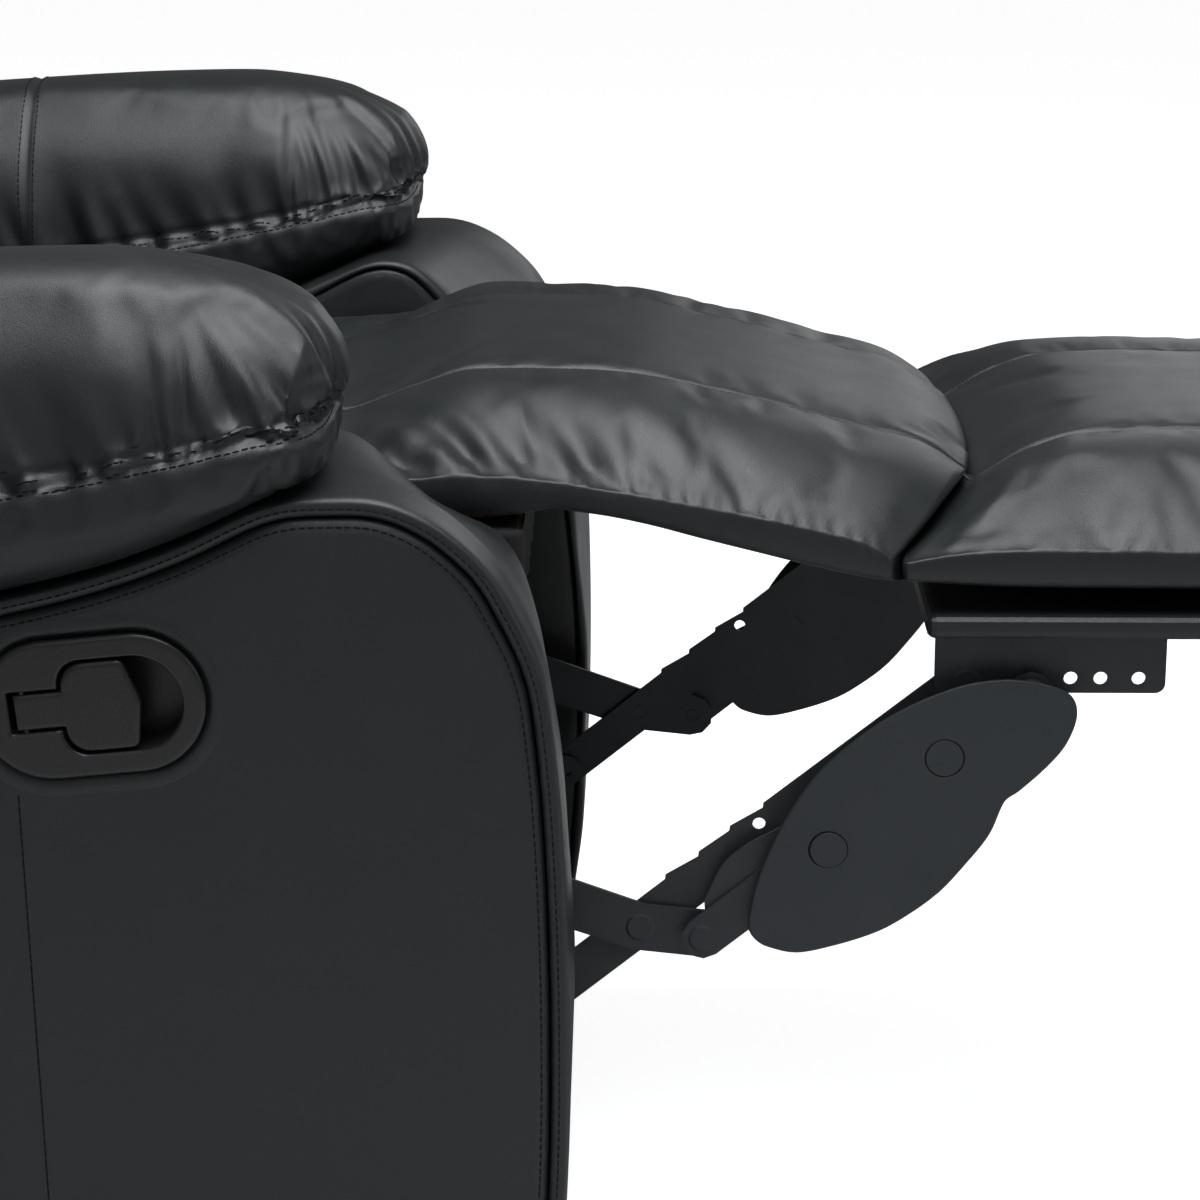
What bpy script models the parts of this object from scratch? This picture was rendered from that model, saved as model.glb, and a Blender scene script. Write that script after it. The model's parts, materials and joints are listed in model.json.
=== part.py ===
"""Recliner chair with pillow arms, a reclining back and a fold-out footrest.

Units are metres, +Z is up and the chair faces -Y. Side views are written as (u, z): u is the
distance forward of the arms' front edge and z the height above the floor. The origin is on the
floor, under the middle of the chair's box. The chair stands with its back up and its footrest out.
"""
import math

import bmesh
import bpy
from mathutils import Matrix, Vector

# Clearances and facet counts
GAP = 0.0003
CUT_OVERRUN = 0.004
WELD = 0.00001
ARC_STEPS = 5
ROUND_STEPS = 16

# Arms: two boxes of board, each under a stuffed pillow
SEAT_WIDTH = 0.500
ARM_WIDTH = 0.177
ARM_BEHIND = 0.210
ARM_SETBACK = 0.119
ARM_FRONT_HEIGHT = 0.534
ARM_DROP = 0.084
FLOOR_GAP = 0.030
OUTER_PANEL = 0.020
INNER_PANEL = 0.012
FRONT_BAND = 0.016
TOP_BOARD = 0.012
BASE_BOARD = 0.020
REAR_BOARD = 0.015
# Places along the arm's edges: how far back in setbacks and how far up in heights
FRONT_CURVE_shares = (
    (-0.10, 0.0), (-0.017, 0.198), (0.0, 0.417), (-0.063, 0.665), (-0.129, 0.776),
    (-0.326, 0.888), (-0.546, 0.948), (-0.765, 0.986), (-1.0, 1.0),
)
PILLOW_LINE_shares = (
    (0.0, 0.0), (0.063, 0.036), (0.14, 0.31), (0.208, 0.494), (0.291, 0.655),
    (0.452, 0.905), (0.6135, 1.0), (1.0, 1.0),
)
PILLOW_WIDTH = 0.193
PILLOW_LENGTH = 0.540
PILLOW_HEIGHT = 0.117
PILLOW_TIP = 0.121
PILLOW_SEAM_DRAW = 0.004
PILLOW_FACETS = 20
# Pillow stations: place along the length, underside, top and half width
PILLOW_NOSE_shares = (
    (0.0, 0.36, 0.50, 0.16), (0.003, 0.24, 0.56, 0.42), (0.013, 0.14, 0.66, 0.66), (0.035, 0.06, 0.79, 0.86),
)
PILLOW_TOP_shares = (
    (0.069, 0.855), (0.157, 0.96), (0.235, 1.0), (0.331, 0.975), (0.517, 0.93), (0.702, 0.86),
)
PILLOW_TAIL_shares = (
    (0.887, 0.74, 0.98), (0.96, 0.55, 0.90), (0.99, 0.20, 0.72), (1.0, -0.10, 0.45),
)
PILLOW_SEAM_share = 0.36
PILLOW_TOP_POWER = 0.87
PILLOW_UNDER_POWER = 0.5

# Handle: an oval cup let into the right arm, with a hinged paddle
CUP_PLACE = 0.2519
CUP_DROP = 0.1118
CUP_TILT = math.radians(5.5)
CUP_LENGTH = 0.122
CUP_WIDTH = 0.077
CUP_FLANGE = 0.0025
CUP_LIP = 0.007
CUP_DEPTH = 0.030
CUP_FLOOR = 0.003
POCKET_LENGTH = 0.0657
POCKET_WIDTH = 0.0525
POCKET_CORNER = 0.013
NECK_LENGTH = 0.0275
NECK_WIDTH = 0.023
PADDLE_THICKNESS = 0.005
PADDLE_PLAY = 0.0016
FINGER_GAP = 0.0224
PADDLE_CORNER = 0.0045
PADDLE_POINT = 0.0064
PADDLE_PIN_RADIUS = 0.0015
PADDLE_PIN_GRIP = 0.006
RUNNING_GAP = 0.0003

# Seat frame and base
RAIL_EDGE = 0.002
SEAT_RAIL_BOTTOM = 0.425
SEAT_RAIL_HEIGHT = 0.040
SEAT_RAIL_WIDTH = 0.040
SEAT_CLEARANCE = 0.015
SEAT_FRONT = 0.030
SEAT_OVERHANG = 0.025
FRONT_RAIL_DEPTH = 0.035
REAR_RAIL_DEPTH = 0.035
BASE_RAIL_BOTTOM = 0.100
BASE_RAIL_HEIGHT = 0.100
BASE_RAIL_FRONT = 0.176
BASE_RAIL_BEHIND = 0.045
CROSS_RAIL_DEPTH = 0.040
CROSS_RAIL_HEIGHT = 0.085
SKIRT_INSET = 0.040
SKIRT_BOTTOM = 0.060
SKIRT_TOP = 0.300
SKIRT_THICKNESS = 0.010
FOOT_RADIUS = 0.025
FOOT_INSET = 0.075
FOOT_EDGE = 0.003
SPRING_COUNT = 3
SPRING_WIRE = 0.0018
SPRING_SWING = 0.022
SPRING_BENDS = 13
SPRING_SPAN_share = 0.66

# Seat cushion, chaise pad and footrest pad
PAD_SEAM_share = 0.481
SEAM_GROOVE = 0.004
PAD_CROWN = 0.009
CUSHION_LENGTH = 0.510
CUT_PLACE = -0.020
CUT_HEIGHT = 0.500
CUT_SLANT = 0.36
CHAISE_EDGE = 0.1886
CHAISE_TIP = 0.2490
LOBE_POWER = 3
PAD_LOW = 0.430
PAD_RISE = 0.1072
PAD_FALL_POWER = 2.2
# Rows of shares: place along the pad, then heights of the underside, the edge welt and the top seam
CUSHION_ROW_shares = (
    (1.0, 0.373, 0.387, 0.401), (0.951, 0.373, 0.429, 0.504),
    (0.882, 0.373, 0.466, 0.597), (0.745, 0.373, 0.485, 0.634),
    (0.549, 0.373, 0.513, 0.653), (0.353, 0.373, 0.56, 0.69),
    (0.239, 0.373, 0.602, 0.752), (0.147, 0.373, 0.627, 0.905),
    (0.069, 0.392, 0.642, 0.993),
)
CUT_HEIGHT_shares = (0.448, 0.623, 1.0)
CHAISE_ROW_shares = (
    (0.163, 0.406, 0.575, 0.992), (0.28, 0.361, 0.535, 0.97),
    (0.441, 0.28, 0.475, 0.897), (0.603, 0.201, 0.415, 0.808),
    (0.767, 0.121, 0.344, 0.69), (0.911, 0.061, 0.269, 0.578),
)
CHAISE_END_HEIGHT_shares = (0.042, 0.168, 0.392)

# Footrest: a pad on an upholstered board, on two steel angles
FOOT_BOARD_REAR = 0.207
FOOT_BOARD_LENGTH = 0.350
FOOT_BOARD_UNDER = 0.4008
FOOT_BOARD_THICKNESS = 0.0147
FOOT_BOARD_EDGE = 0.006
FOOT_PAD_TOE = 0.572
FOOT_PAD_START_HEIGHT_shares = (0.047, 0.159, 0.354)
FOOT_PAD_ROW_shares = (
    (0.113, 0.019, 0.219, 0.55), (0.199, 0.009, 0.229, 0.625),
    (0.369, 0.005, 0.227, 0.653), (0.577, 0.005, 0.215, 0.644),
    (0.76, 0.009, 0.201, 0.597), (0.89, 0.019, 0.192, 0.504),
    (0.969, 0.037, 0.187, 0.373), (1.0, 0.075, 0.168, 0.205),
)
BRACKET_REAR = 0.214
BRACKET_LENGTH = 0.137
BRACKET_UNDER = 0.3628
BRACKET_CORNER = 0.006
BRACKET_FLANGE = 0.025
BRACKET_HOLE_RADIUS = 0.00425
BRACKET_HOLE_LINE = 0.3718
BRACKET_HOLES = (0.2948, 0.3125, 0.3351)

# Footrest mechanism: flat steel links in layers, one step apart
STEEL = 0.0025
LAYER_STEP = 0.004
MECHANISM_INSET = 0.0435
FRONT_PIVOT = (-0.071, 0.251)
FRONT_LINK_JOINT = (0.0400, 0.2120)
COVER_LINK_JOINT = (0.0778, 0.2080)
REST_JOINT = (0.2332, 0.3690)
COVER_REST_JOINT = (0.2710, 0.3650)
TAIL_JOINT = (-0.0143, 0.1679)
REAR_PIVOT = (-0.1036, 0.1590)
FRONT_LINK_RADII = (0.0160, 0.0150, 0.0150)
LONG_LINK_RADIUS = 0.0130
LONG_LINK_HOLE = (0.1115, 0.2775)
LONG_LINK_HOLE_RADIUS = 0.0040
NOTCH_DEPTH = 0.0022
NOTCH_PLACES_shares = (0.12, 0.22, 0.32, 0.42)
COVER_LINK_RADIUS = 0.0130
REAR_LINK_RADIUS = 0.0120
TUBE_RADIUS = 0.0100
JOURNAL_RADIUS = 0.0050
BRACKET_LAYER = 1.375
EMBEDDED = 0.0008
RIVET_RADIUS = 0.0045
RIVET_HEAD_RADIUS = 0.0090
RIVET_HEAD = 0.0016
RIVET_FACETS = 12
GUARD_STANDOFF = 0.006
GUARD_LENGTH = 0.249
GUARD_WIDTH = 0.1075
GUARD_POST_RADIUS = 0.0110
GUARD_POST_PROUD = 0.0008
# Guard outline: along the cover link from its lower joint, and square to it
GUARD_OUTLINE_shares = (
    (0.106, -0.109), (0.105, -0.173), (0.117, -0.246), (0.163, -0.374), (0.248, -0.474), (0.341, -0.552),
    (0.42, -0.582), (0.521, -0.586), (0.619, -0.545), (0.707, -0.49), (0.776, -0.4), (0.8, -0.384),
    (0.834, -0.389), (0.92, -0.372), (0.99, -0.333), (1.051, -0.242), (1.071, -0.126), (1.039, 0.018),
    (0.979, 0.163), (0.906, 0.271), (0.828, 0.34), (0.743, 0.388), (0.651, 0.412), (0.56, 0.41),
    (0.473, 0.386), (0.375, 0.314), (0.281, 0.213), (0.196, 0.095), (0.12, -0.053),
)
GUARD_POSTS_shares = ((0.743, 0.022), (0.384, 0.003))
SIDE_PLATE_TOP = 0.4247
SIDE_PLATE_FRONT = 0.200
SIDE_PLATE_AHEAD = 0.075
SIDE_PLATE_SLOPE = 0.050
TONGUE_RADIUS = 0.0130
INNER_BRACKET_RADIUS = 0.0150

# Back: hinged at the base, leaning; (v, w) are forward of and up along its frame
HINGE_BEHIND = 0.045
HINGE_HEIGHT = 0.330
BACK_LEAN = math.radians(17.0)
UPRIGHT_DEPTH = 0.040
UPRIGHT_WIDTH = 0.030
UPRIGHT_TOP = 0.660
UPRIGHT_BOTTOM = 0.035
BACK_RAIL_DEPTH = 0.030
BACK_RAIL_HEIGHT = 0.040
BACK_RAIL_LOW = 0.050
BACK_RAIL_HIGH = 0.600
REAR_PANEL = 0.015
REAR_PANEL_LOW = 0.040
REAR_PANEL_TOP = 0.675
REAR_PANEL_OVERHANG = 0.005
SHOULDER = 0.400
SHOULDER_INSET = 0.007
SHOULDER_CORNER = 0.060
BACK_PILLOWS = (
    ("lumbar_pillow", 0.130, 0.325, 0.112), ("middle_pillow", 0.3253, 0.510, 0.105),
    ("head_pillow", 0.5103, 0.700, 0.120),
)
WING_WIDTH = 0.092
WING_LOW = 0.405
WING_TOP = 0.672
WING_DEPTH = 0.150
BLOCK_RISE_POWER = 0.7
BLOCK_REACH_POWER = 0.55
HINGE_BRACKET = 0.004
HINGE_BRACKET_RADIUS = 0.022
HINGE_BRACKET_WIDTH = 0.060
HINGE_PIN_RADIUS = 0.006

# Values that follow from the sizes above
SEAT_HALF = SEAT_WIDTH / 2
SEAT_FRAME_WIDTH = SEAT_WIDTH - 2 * SEAT_CLEARANCE
PAD_WIDTH = SEAT_FRAME_WIDTH
BACK_PILLOW_WIDTH = SEAT_FRAME_WIDTH
REAR_PANEL_WIDTH = SEAT_FRAME_WIDTH + 2 * REAR_PANEL_OVERHANG
SHOULDER_WIDTH = BACK_PILLOW_WIDTH + 2 * (WING_WIDTH - SHOULDER_INSET)
MECHANISM_X = SEAT_HALF - MECHANISM_INSET
ARM_OUTER = SEAT_HALF + ARM_WIDTH
ARM_CAVITY_OUTER = ARM_OUTER - OUTER_PANEL - GAP
CUP_HEIGHT = ARM_FRONT_HEIGHT - CUP_DROP
SEAT_BACK = CUSHION_LENGTH - CUT_PLACE
ARM_LENGTH = SEAT_BACK + ARM_BEHIND
SEAT_REAR = SEAT_BACK + SEAT_OVERHANG
HINGE_PLACE = SEAT_BACK + HINGE_BEHIND
BASE_RAIL_REAR = HINGE_PLACE + BASE_RAIL_BEHIND
SKIRT_PLACE = ARM_LENGTH - SKIRT_INSET
SIDE_PLATE_REAR = HINGE_PLACE - SIDE_PLATE_AHEAD
BACK_SURFACE = UPRIGHT_DEPTH / 2 + GAP
REAR_SURFACE = BACK_SURFACE + REAR_PANEL
REAR_END = (
    HINGE_PLACE + REAR_PANEL_TOP * math.sin(BACK_LEAN) + REAR_SURFACE * math.cos(BACK_LEAN)
)
CHAIR = Vector((0, (FOOT_PAD_TOE - REAR_END) / 2, 0))
SIDE_TURN = Matrix(((0, 0, -1), (-1, 0, 0), (0, 1, 0))).to_euler()
BASE_RAIL_TOP = BASE_RAIL_BOTTOM + BASE_RAIL_HEIGHT
SEAT_RAIL_TOP = SEAT_RAIL_BOTTOM + SEAT_RAIL_HEIGHT
RIGHT, LEFT = -1, 1
SIDES = ((RIGHT, "r"), (LEFT, "l"))

for old in list(bpy.data.objects):
    bpy.data.objects.remove(old)
parts = bpy.data.collections.new("recliner_chair")
cutters = bpy.data.collections.new("cutters")
bpy.context.scene.collection.children.link(parts)
bpy.context.scene.collection.children.link(cutters)


# Materials
def material(name, colour, roughness, metallic=0.0):
    made = bpy.data.materials.new(name)
    made.use_nodes = True
    shader = made.node_tree.nodes["Principled BSDF"]
    shader.inputs["Base Color"].default_value = (*colour, 1.0)
    shader.inputs["Roughness"].default_value = roughness
    shader.inputs["Metallic"].default_value = metallic
    return made


LEATHER = material("black_leather", (0.030, 0.033, 0.036), 0.42)
DARK_STEEL = material("black_steel", (0.028, 0.030, 0.032), 0.45, 0.6)
PLASTIC = material("black_plastic", (0.022, 0.022, 0.024), 0.38)
PLYWOOD = material("plywood", (0.55, 0.42, 0.28), 0.7)
PINE = material("pine", (0.66, 0.52, 0.34), 0.7)
SPRING_STEEL = material("spring_steel", (0.45, 0.45, 0.46), 0.35, 0.9)
FOOT_PLASTIC = material("foot_plastic", (0.020, 0.020, 0.021), 0.55)


# Making and placing objects
def at(u, z, x=0.0, origin=CHAIR):
    return origin + Vector((x, -u, z))


def add(name, data, finish, location=(0, 0, 0), rotation=(0, 0, 0)):
    made = bpy.data.objects.new(name, data)
    parts.objects.link(made)
    made.location = location
    made.rotation_euler = rotation
    if finish:
        data.materials.append(finish)
    return made


def mesh_of(made, name=None):
    """Turn an object, with its modifiers, into a welded mesh object in the same place."""
    bpy.context.view_layer.update()
    graph = bpy.context.evaluated_depsgraph_get()
    data = bpy.data.meshes.new_from_object(made.evaluated_get(graph))
    shape = bmesh.new()
    shape.from_mesh(data)
    bmesh.ops.remove_doubles(shape, verts=shape.verts, dist=WELD)
    shape.to_mesh(data)
    shape.free()
    new_name = name or made.name
    place = made.matrix_world.copy()
    bpy.data.objects.remove(made)
    result = add(new_name, data, None)
    result.matrix_world = place
    return result


def boolean(made, cutter, operation="DIFFERENCE"):
    change = made.modifiers.new(operation.lower(), "BOOLEAN")
    change.object = cutter
    change.operation = operation
    change.solver = "EXACT"
    parts.objects.unlink(cutter)
    cutters.objects.link(cutter)
    cutter.hide_render = True
    cutter.display_type = "WIRE"


def outline_curve(outlines):
    data = bpy.data.curves.new("outline", "CURVE")
    data.dimensions = "2D"
    data.fill_mode = "BOTH"
    for points in outlines:
        spline = data.splines.new("POLY")
        spline.points.add(len(points) - 1)
        for point, (u, z) in zip(spline.points, points):
            point.co = (u, z, 0, 1)
        spline.use_cyclic_u = True
    return data


def side_plate(name, outline, x_ends, finish, holes=(), pivot=(0.0, 0.0), origin=CHAIR):
    """A flat board or link, cut to a side view and spanning the two given places along X."""
    local = [[(u - pivot[0], z - pivot[1]) for u, z in loop] for loop in (outline, *holes)]
    data = outline_curve(local)
    data.extrude = abs(x_ends[1] - x_ends[0]) / 2
    place = at(pivot[0], pivot[1], (x_ends[0] + x_ends[1]) / 2, origin)
    return add(name, data, finish, place, SIDE_TURN)


def box(name, u_ends, z_ends, x_ends, finish, edge=RAIL_EDGE, origin=CHAIR):
    """A straight rail or board with eased edges."""
    shape = bmesh.new()
    bmesh.ops.create_cube(shape, size=1.0)
    spans = [abs(ends[1] - ends[0]) for ends in (x_ends, u_ends, z_ends)]
    bmesh.ops.scale(shape, vec=spans, verts=shape.verts)
    data = bpy.data.meshes.new(name)
    shape.to_mesh(data)
    shape.free()
    middle = at(sum(u_ends) / 2, sum(z_ends) / 2, sum(x_ends) / 2, origin)
    made = add(name, data, finish, middle)
    if edge:
        bevel = made.modifiers.new("edge", "BEVEL")
        bevel.width = edge
        bevel.segments = 1
    return made


def turned(name, profile, finish, location, axis, steps=ROUND_STEPS):
    """A turned solid: (radius, place along the axis), from the far end to the near end."""
    data = bpy.data.meshes.new(name)
    points = [(radius, 0, place) for radius, place in profile]
    edges = [(index, index + 1) for index in range(len(points) - 1)]
    data.from_pydata(points, edges, [])
    turn = Vector((0, 0, 1)).rotation_difference(Vector(axis)).to_euler()
    made = add(name, data, finish, location, turn)
    screw = made.modifiers.new("turn", "SCREW")
    screw.steps = steps
    screw.render_steps = steps
    screw.use_merge_vertices = True
    screw.merge_threshold = WELD
    return made


def loft(name, rings, finish):
    """A closed skin over rings of equally many points, with flat ends."""
    middle = sum((point for point in rings[0]), Vector()) / len(rings[0])
    shape = bmesh.new()
    rows = [[shape.verts.new(point - middle) for point in ring] for ring in rings]
    count = len(rings[0])
    for row, following in zip(rows, rows[1:]):
        for index in range(count):
            after = (index + 1) % count
            shape.faces.new((row[index], row[after], following[after], following[index]))
    shape.faces.new(reversed(rows[0]))
    shape.faces.new(rows[-1])
    if shape.calc_volume(signed=True) < 0:
        bmesh.ops.reverse_faces(shape, faces=shape.faces)
    bmesh.ops.triangulate(shape, faces=[face for face in shape.faces if len(face.verts) > 4])
    for face in shape.faces:
        face.smooth = True
    data = bpy.data.meshes.new(name)
    shape.to_mesh(data)
    shape.free()
    return add(name, data, finish, middle)


# Outlines in the side view
def arc(centre, radius, start, end, steps=ARC_STEPS):
    angles = [start + (end - start) * step / steps for step in range(steps + 1)]
    return [(centre[0] + radius * math.cos(a), centre[1] + radius * math.sin(a)) for a in angles]


def circle(centre, radius, steps=ROUND_STEPS):
    return arc(centre, radius, 0, math.tau, steps)[:-1]


def spline_value(t, p, q, r, s):
    """Catmull-Rom value between q and r."""
    square = 2 * p - 5 * q + 4 * r - s
    cube = 3 * q - p - 3 * r + s
    return (2 * q + t * (r - p) + t * t * square + t ** 3 * cube) / 2


def smooth(points, steps=3):
    """An even curve through the points, with its end points kept."""
    padded = [points[0], *points, points[-1]]
    curve = []
    for a, b, c, d in zip(padded, padded[1:], padded[2:], padded[3:]):
        for step in range(steps):
            t = step / steps
            curve.append(tuple(spline_value(t, *values) for values in zip(a, b, c, d)))
    return [*curve, points[-1]]


def inset(points, distance):
    """The open line moved sideways, to its left as it runs."""
    moved = []
    for index, point in enumerate(points):
        before = points[max(index - 1, 0)]
        after = points[min(index + 1, len(points) - 1)]
        along = Vector((after[0] - before[0], after[1] - before[1])).normalized()
        moved.append((point[0] - along.y * distance, point[1] + along.x * distance))
    return moved


def heading(start, end):
    return math.atan2(end[1] - start[1], end[0] - start[0])


def along_link(start, end, distance, offset=0.0):
    """A place measured along a link from its first joint, and square to it."""
    angle = heading(start, end)
    return (
        start[0] + distance * math.cos(angle) - offset * math.sin(angle),
        start[1] + distance * math.sin(angle) + offset * math.cos(angle),
    )


def strap(joints, radii):
    """The outline of a flat link round its joints, with round ends."""
    first, last = heading(joints[0], joints[1]), heading(joints[-2], joints[-1])
    quarter = math.pi / 2
    outline = arc(joints[-1], radii[-1], last - quarter, last + quarter)
    middle = [
        (joint, radius, (heading(joints[i], joint) + heading(joint, joints[i + 2])) / 2)
        for i, (joint, radius) in enumerate(zip(joints[1:-1], radii[1:-1]))
    ]
    outline += [arc(joint, radius, angle + quarter, 0, 1)[0] for joint, radius, angle in reversed(middle)]
    outline += arc(joints[0], radii[0], first + quarter, first + 3 * quarter)
    outline += [arc(joint, radius, angle - quarter, 0, 1)[0] for joint, radius, angle in middle]
    return outline


def rounded_box(u_ends, z_ends, radius):
    """A rectangle with four round corners."""
    quarter = math.pi / 2
    centres = (
        (u_ends[1] - radius, z_ends[1] - radius), (u_ends[0] + radius, z_ends[1] - radius),
        (u_ends[0] + radius, z_ends[0] + radius), (u_ends[1] - radius, z_ends[0] + radius),
    )
    outline = []
    for turn, centre in enumerate(centres):
        outline += arc(centre, radius, turn * quarter, (turn + 1) * quarter)
    return outline


# Arm outlines
def front_curve():
    rise = ARM_FRONT_HEIGHT - FLOOR_GAP
    return smooth([(ARM_SETBACK * du, FLOOR_GAP + rise * dz) for du, dz in FRONT_CURVE_shares])


def pillow_line():
    """The arm's top edge, which the pillow lies on, from its front end back."""
    run = ARM_LENGTH - ARM_SETBACK
    return [
        (-ARM_SETBACK - run * du, ARM_FRONT_HEIGHT - ARM_DROP * dz) for du, dz in PILLOW_LINE_shares
    ]


def line_height(line, u):
    """Height of a line that runs backward, at the place u."""
    for (u_front, z_front), (u_back, z_back) in zip(line, line[1:]):
        if u_back <= u <= u_front:
            return z_front + (z_back - z_front) * (u_front - u) / (u_front - u_back)
    return line[-1][1]


def span(side, low, high):
    return (side * low, side * high)


def stadium(length, width, centre=(0.0, 0.0)):
    half = (length - width) / 2
    quarter = math.pi / 2
    front = arc((centre[0] + half, centre[1]), width / 2, -quarter, quarter, 2 * ARC_STEPS)
    rear = arc((centre[0] - half, centre[1]), width / 2, quarter, 3 * quarter, 2 * ARC_STEPS)
    return front + rear


def tilted(points):
    """Cup outlines, turned to the cup's tilt and moved to its place on the arm."""
    cos, sin = math.cos(CUP_TILT), math.sin(CUP_TILT)
    return [(-CUP_PLACE + u * cos - z * sin, CUP_HEIGHT + u * sin + z * cos) for u, z in points]


def make_arm(side, mark):
    """The panels, bent inner frame and pillow of one arm."""
    front = front_curve()
    top = [(u, z - GAP) for u, z in pillow_line()]
    behind_band = inset(front, FRONT_BAND + GAP)
    rear_top = (-ARM_LENGTH, top[-1][1])
    rear_bottom = (-ARM_LENGTH, FLOOR_GAP)
    cup_hole = []
    if side == RIGHT:
        body = stadium(CUP_LENGTH - 2 * CUP_LIP + 2 * GAP, CUP_WIDTH - 2 * CUP_LIP + 2 * GAP)
        cup_hole = [tilted(body)]
    side_plate(
        f"outer_side_panel_{mark}", [*front, *top[1:-1], rear_top, rear_bottom],
        span(side, ARM_OUTER - OUTER_PANEL, ARM_OUTER), LEATHER, cup_hole,
    )
    behind_top = behind_band[-1][0]
    inner_top = [point for point in top if point[0] < behind_top]
    side_plate(
        f"inner_side_panel_{mark}", [*behind_band, *inner_top[:-1], rear_top, rear_bottom],
        span(side, SEAT_HALF, SEAT_HALF + INNER_PANEL), LEATHER,
    )
    side_plate(
        f"arm_front_band_{mark}", [*front, *reversed(inset(front, FRONT_BAND))],
        span(side, SEAT_HALF, ARM_CAVITY_OUTER), LEATHER,
    )
    cavity = span(side, SEAT_HALF + INNER_PANEL + GAP, ARM_CAVITY_OUTER)
    board_line = [point for point in top[:-1] if point[0] < behind_top - FRONT_BAND]
    board_under = [(u, z - TOP_BOARD) for u, z in [*board_line, rear_top]]
    base_front = ARM_SETBACK * FRONT_CURVE_shares[0][0] - FRONT_BAND - 2 * GAP
    floor = FLOOR_GAP + BASE_BOARD
    inner_rear = -ARM_LENGTH + REAR_BOARD
    frame = [
        *board_line, rear_top, rear_bottom, (base_front, FLOOR_GAP), (base_front, floor),
        (inner_rear, floor), (inner_rear, board_under[-1][1]), *reversed(board_under[:-1]),
    ]
    side_plate(f"arm_frame_{mark}", frame, cavity, PLYWOOD)
    make_arm_pillow(side, mark)


def pillow_ring(centre_x, u, under, top, half_width):
    """One upright section of a stuffed pillow, drawn in at the seam on both sides."""
    seam = under + (top - under) * PILLOW_SEAM_share
    ring = []
    for index in range(PILLOW_FACETS):
        angle = math.tau * index / PILLOW_FACETS
        cos, sin = math.cos(angle), math.sin(angle)
        power = PILLOW_TOP_POWER if sin >= 0 else PILLOW_UNDER_POWER
        reach = math.copysign(abs(cos) ** power, cos)
        if index % (PILLOW_FACETS // 2) == 0:
            reach *= (half_width - PILLOW_SEAM_DRAW) / half_width
        lift = abs(sin) ** power
        height = seam + (top - seam) * lift if sin >= 0 else seam - (seam - under) * lift
        ring.append(at(u, height, centre_x + half_width * reach))
    return ring


def make_arm_pillow(side, mark):
    line = pillow_line()
    half = PILLOW_WIDTH / 2
    centre_x = side * (SEAT_HALF + INNER_PANEL + half)
    stations = []
    for place, under, top, width in PILLOW_NOSE_shares:
        u = -PILLOW_TIP - PILLOW_LENGTH * place
        low, high = ARM_FRONT_HEIGHT + PILLOW_HEIGHT * under, ARM_FRONT_HEIGHT + PILLOW_HEIGHT * top
        stations.append((u, low, high, half * width))
    for (u, z), (place, top) in zip(line[1:], PILLOW_TOP_shares):
        full = 1.0 if place > PILLOW_TOP_shares[1][0] else 1.0 - (PILLOW_TOP_shares[1][0] - place)
        stations.append((u, z, ARM_FRONT_HEIGHT + PILLOW_HEIGHT * top, half * full))
    for place, top, width in PILLOW_TAIL_shares:
        u = -PILLOW_TIP - PILLOW_LENGTH * place
        stations.append((u, line_height(line, u), ARM_FRONT_HEIGHT + PILLOW_HEIGHT * top, half * width))
    rings = [pillow_ring(centre_x, *station) for station in stations]
    loft(f"arm_pillow_{mark}", rings, LEATHER)


# Handle cup and paddle on the right arm
def pocket_outline(grow=0.0):
    """The keyhole opening: a wide pocket with a round front end and a neck behind it."""
    front_end = CUP_LENGTH / 2 - (CUP_WIDTH - POCKET_WIDTH) / 2 + grow
    rear_end = front_end - POCKET_LENGTH - 2 * grow
    half = POCKET_WIDTH / 2 + grow
    neck = NECK_WIDTH / 2 + grow
    quarter = math.pi / 2
    corner = POCKET_CORNER
    outline = arc((front_end - half, 0), half, -quarter, quarter, 2 * ARC_STEPS)
    outline += arc((rear_end + corner, half - corner), corner, quarter, 2 * quarter)
    outline += [(rear_end, neck), (rear_end - NECK_LENGTH, neck)]
    outline += [(rear_end - NECK_LENGTH, -neck), (rear_end, -neck)]
    outline += arc((rear_end + corner, corner - half), corner, 2 * quarter, 3 * quarter)
    return outline


def paddle_outline():
    """The paddle fills the keyhole but for the finger gap in front of it."""
    front_end = CUP_LENGTH / 2 - (CUP_WIDTH - POCKET_WIDTH) / 2
    rear_end = front_end - POCKET_LENGTH + PADDLE_PLAY
    half = POCKET_WIDTH / 2 - PADDLE_PLAY
    neck = NECK_WIDTH / 2 - PADDLE_PLAY
    nose = front_end - FINGER_GAP
    quarter = math.pi / 2
    corner = PADDLE_CORNER
    big = POCKET_CORNER
    outline = arc((nose - PADDLE_POINT / 2 - corner, corner - half), corner, -quarter, 0)
    outline.append((nose, 0))
    outline += arc((nose - PADDLE_POINT - corner, half - corner), corner, 0, quarter)
    outline += arc((rear_end + big, half - big), big, quarter, 2 * quarter)
    outline += [(rear_end, neck), (rear_end - NECK_LENGTH, neck)]
    outline += [(rear_end - NECK_LENGTH, -neck), (rear_end, -neck)]
    outline += arc((rear_end + big, big - half), big, 2 * quarter, 3 * quarter)
    return outline


def paddle_axis():
    """The paddle's hinge: near the neck's rear end, behind the cup's face."""
    front_end = CUP_LENGTH / 2 - (CUP_WIDTH - POCKET_WIDTH) / 2
    place = front_end - POCKET_LENGTH - NECK_LENGTH + 2 * PADDLE_PLAY + PADDLE_THICKNESS
    u, z = tilted([(place, 0)])[0]
    depth = ARM_OUTER + CUP_FLANGE + GAP - PADDLE_THICKNESS / 2
    return at(u, z, RIGHT * depth)


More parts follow.
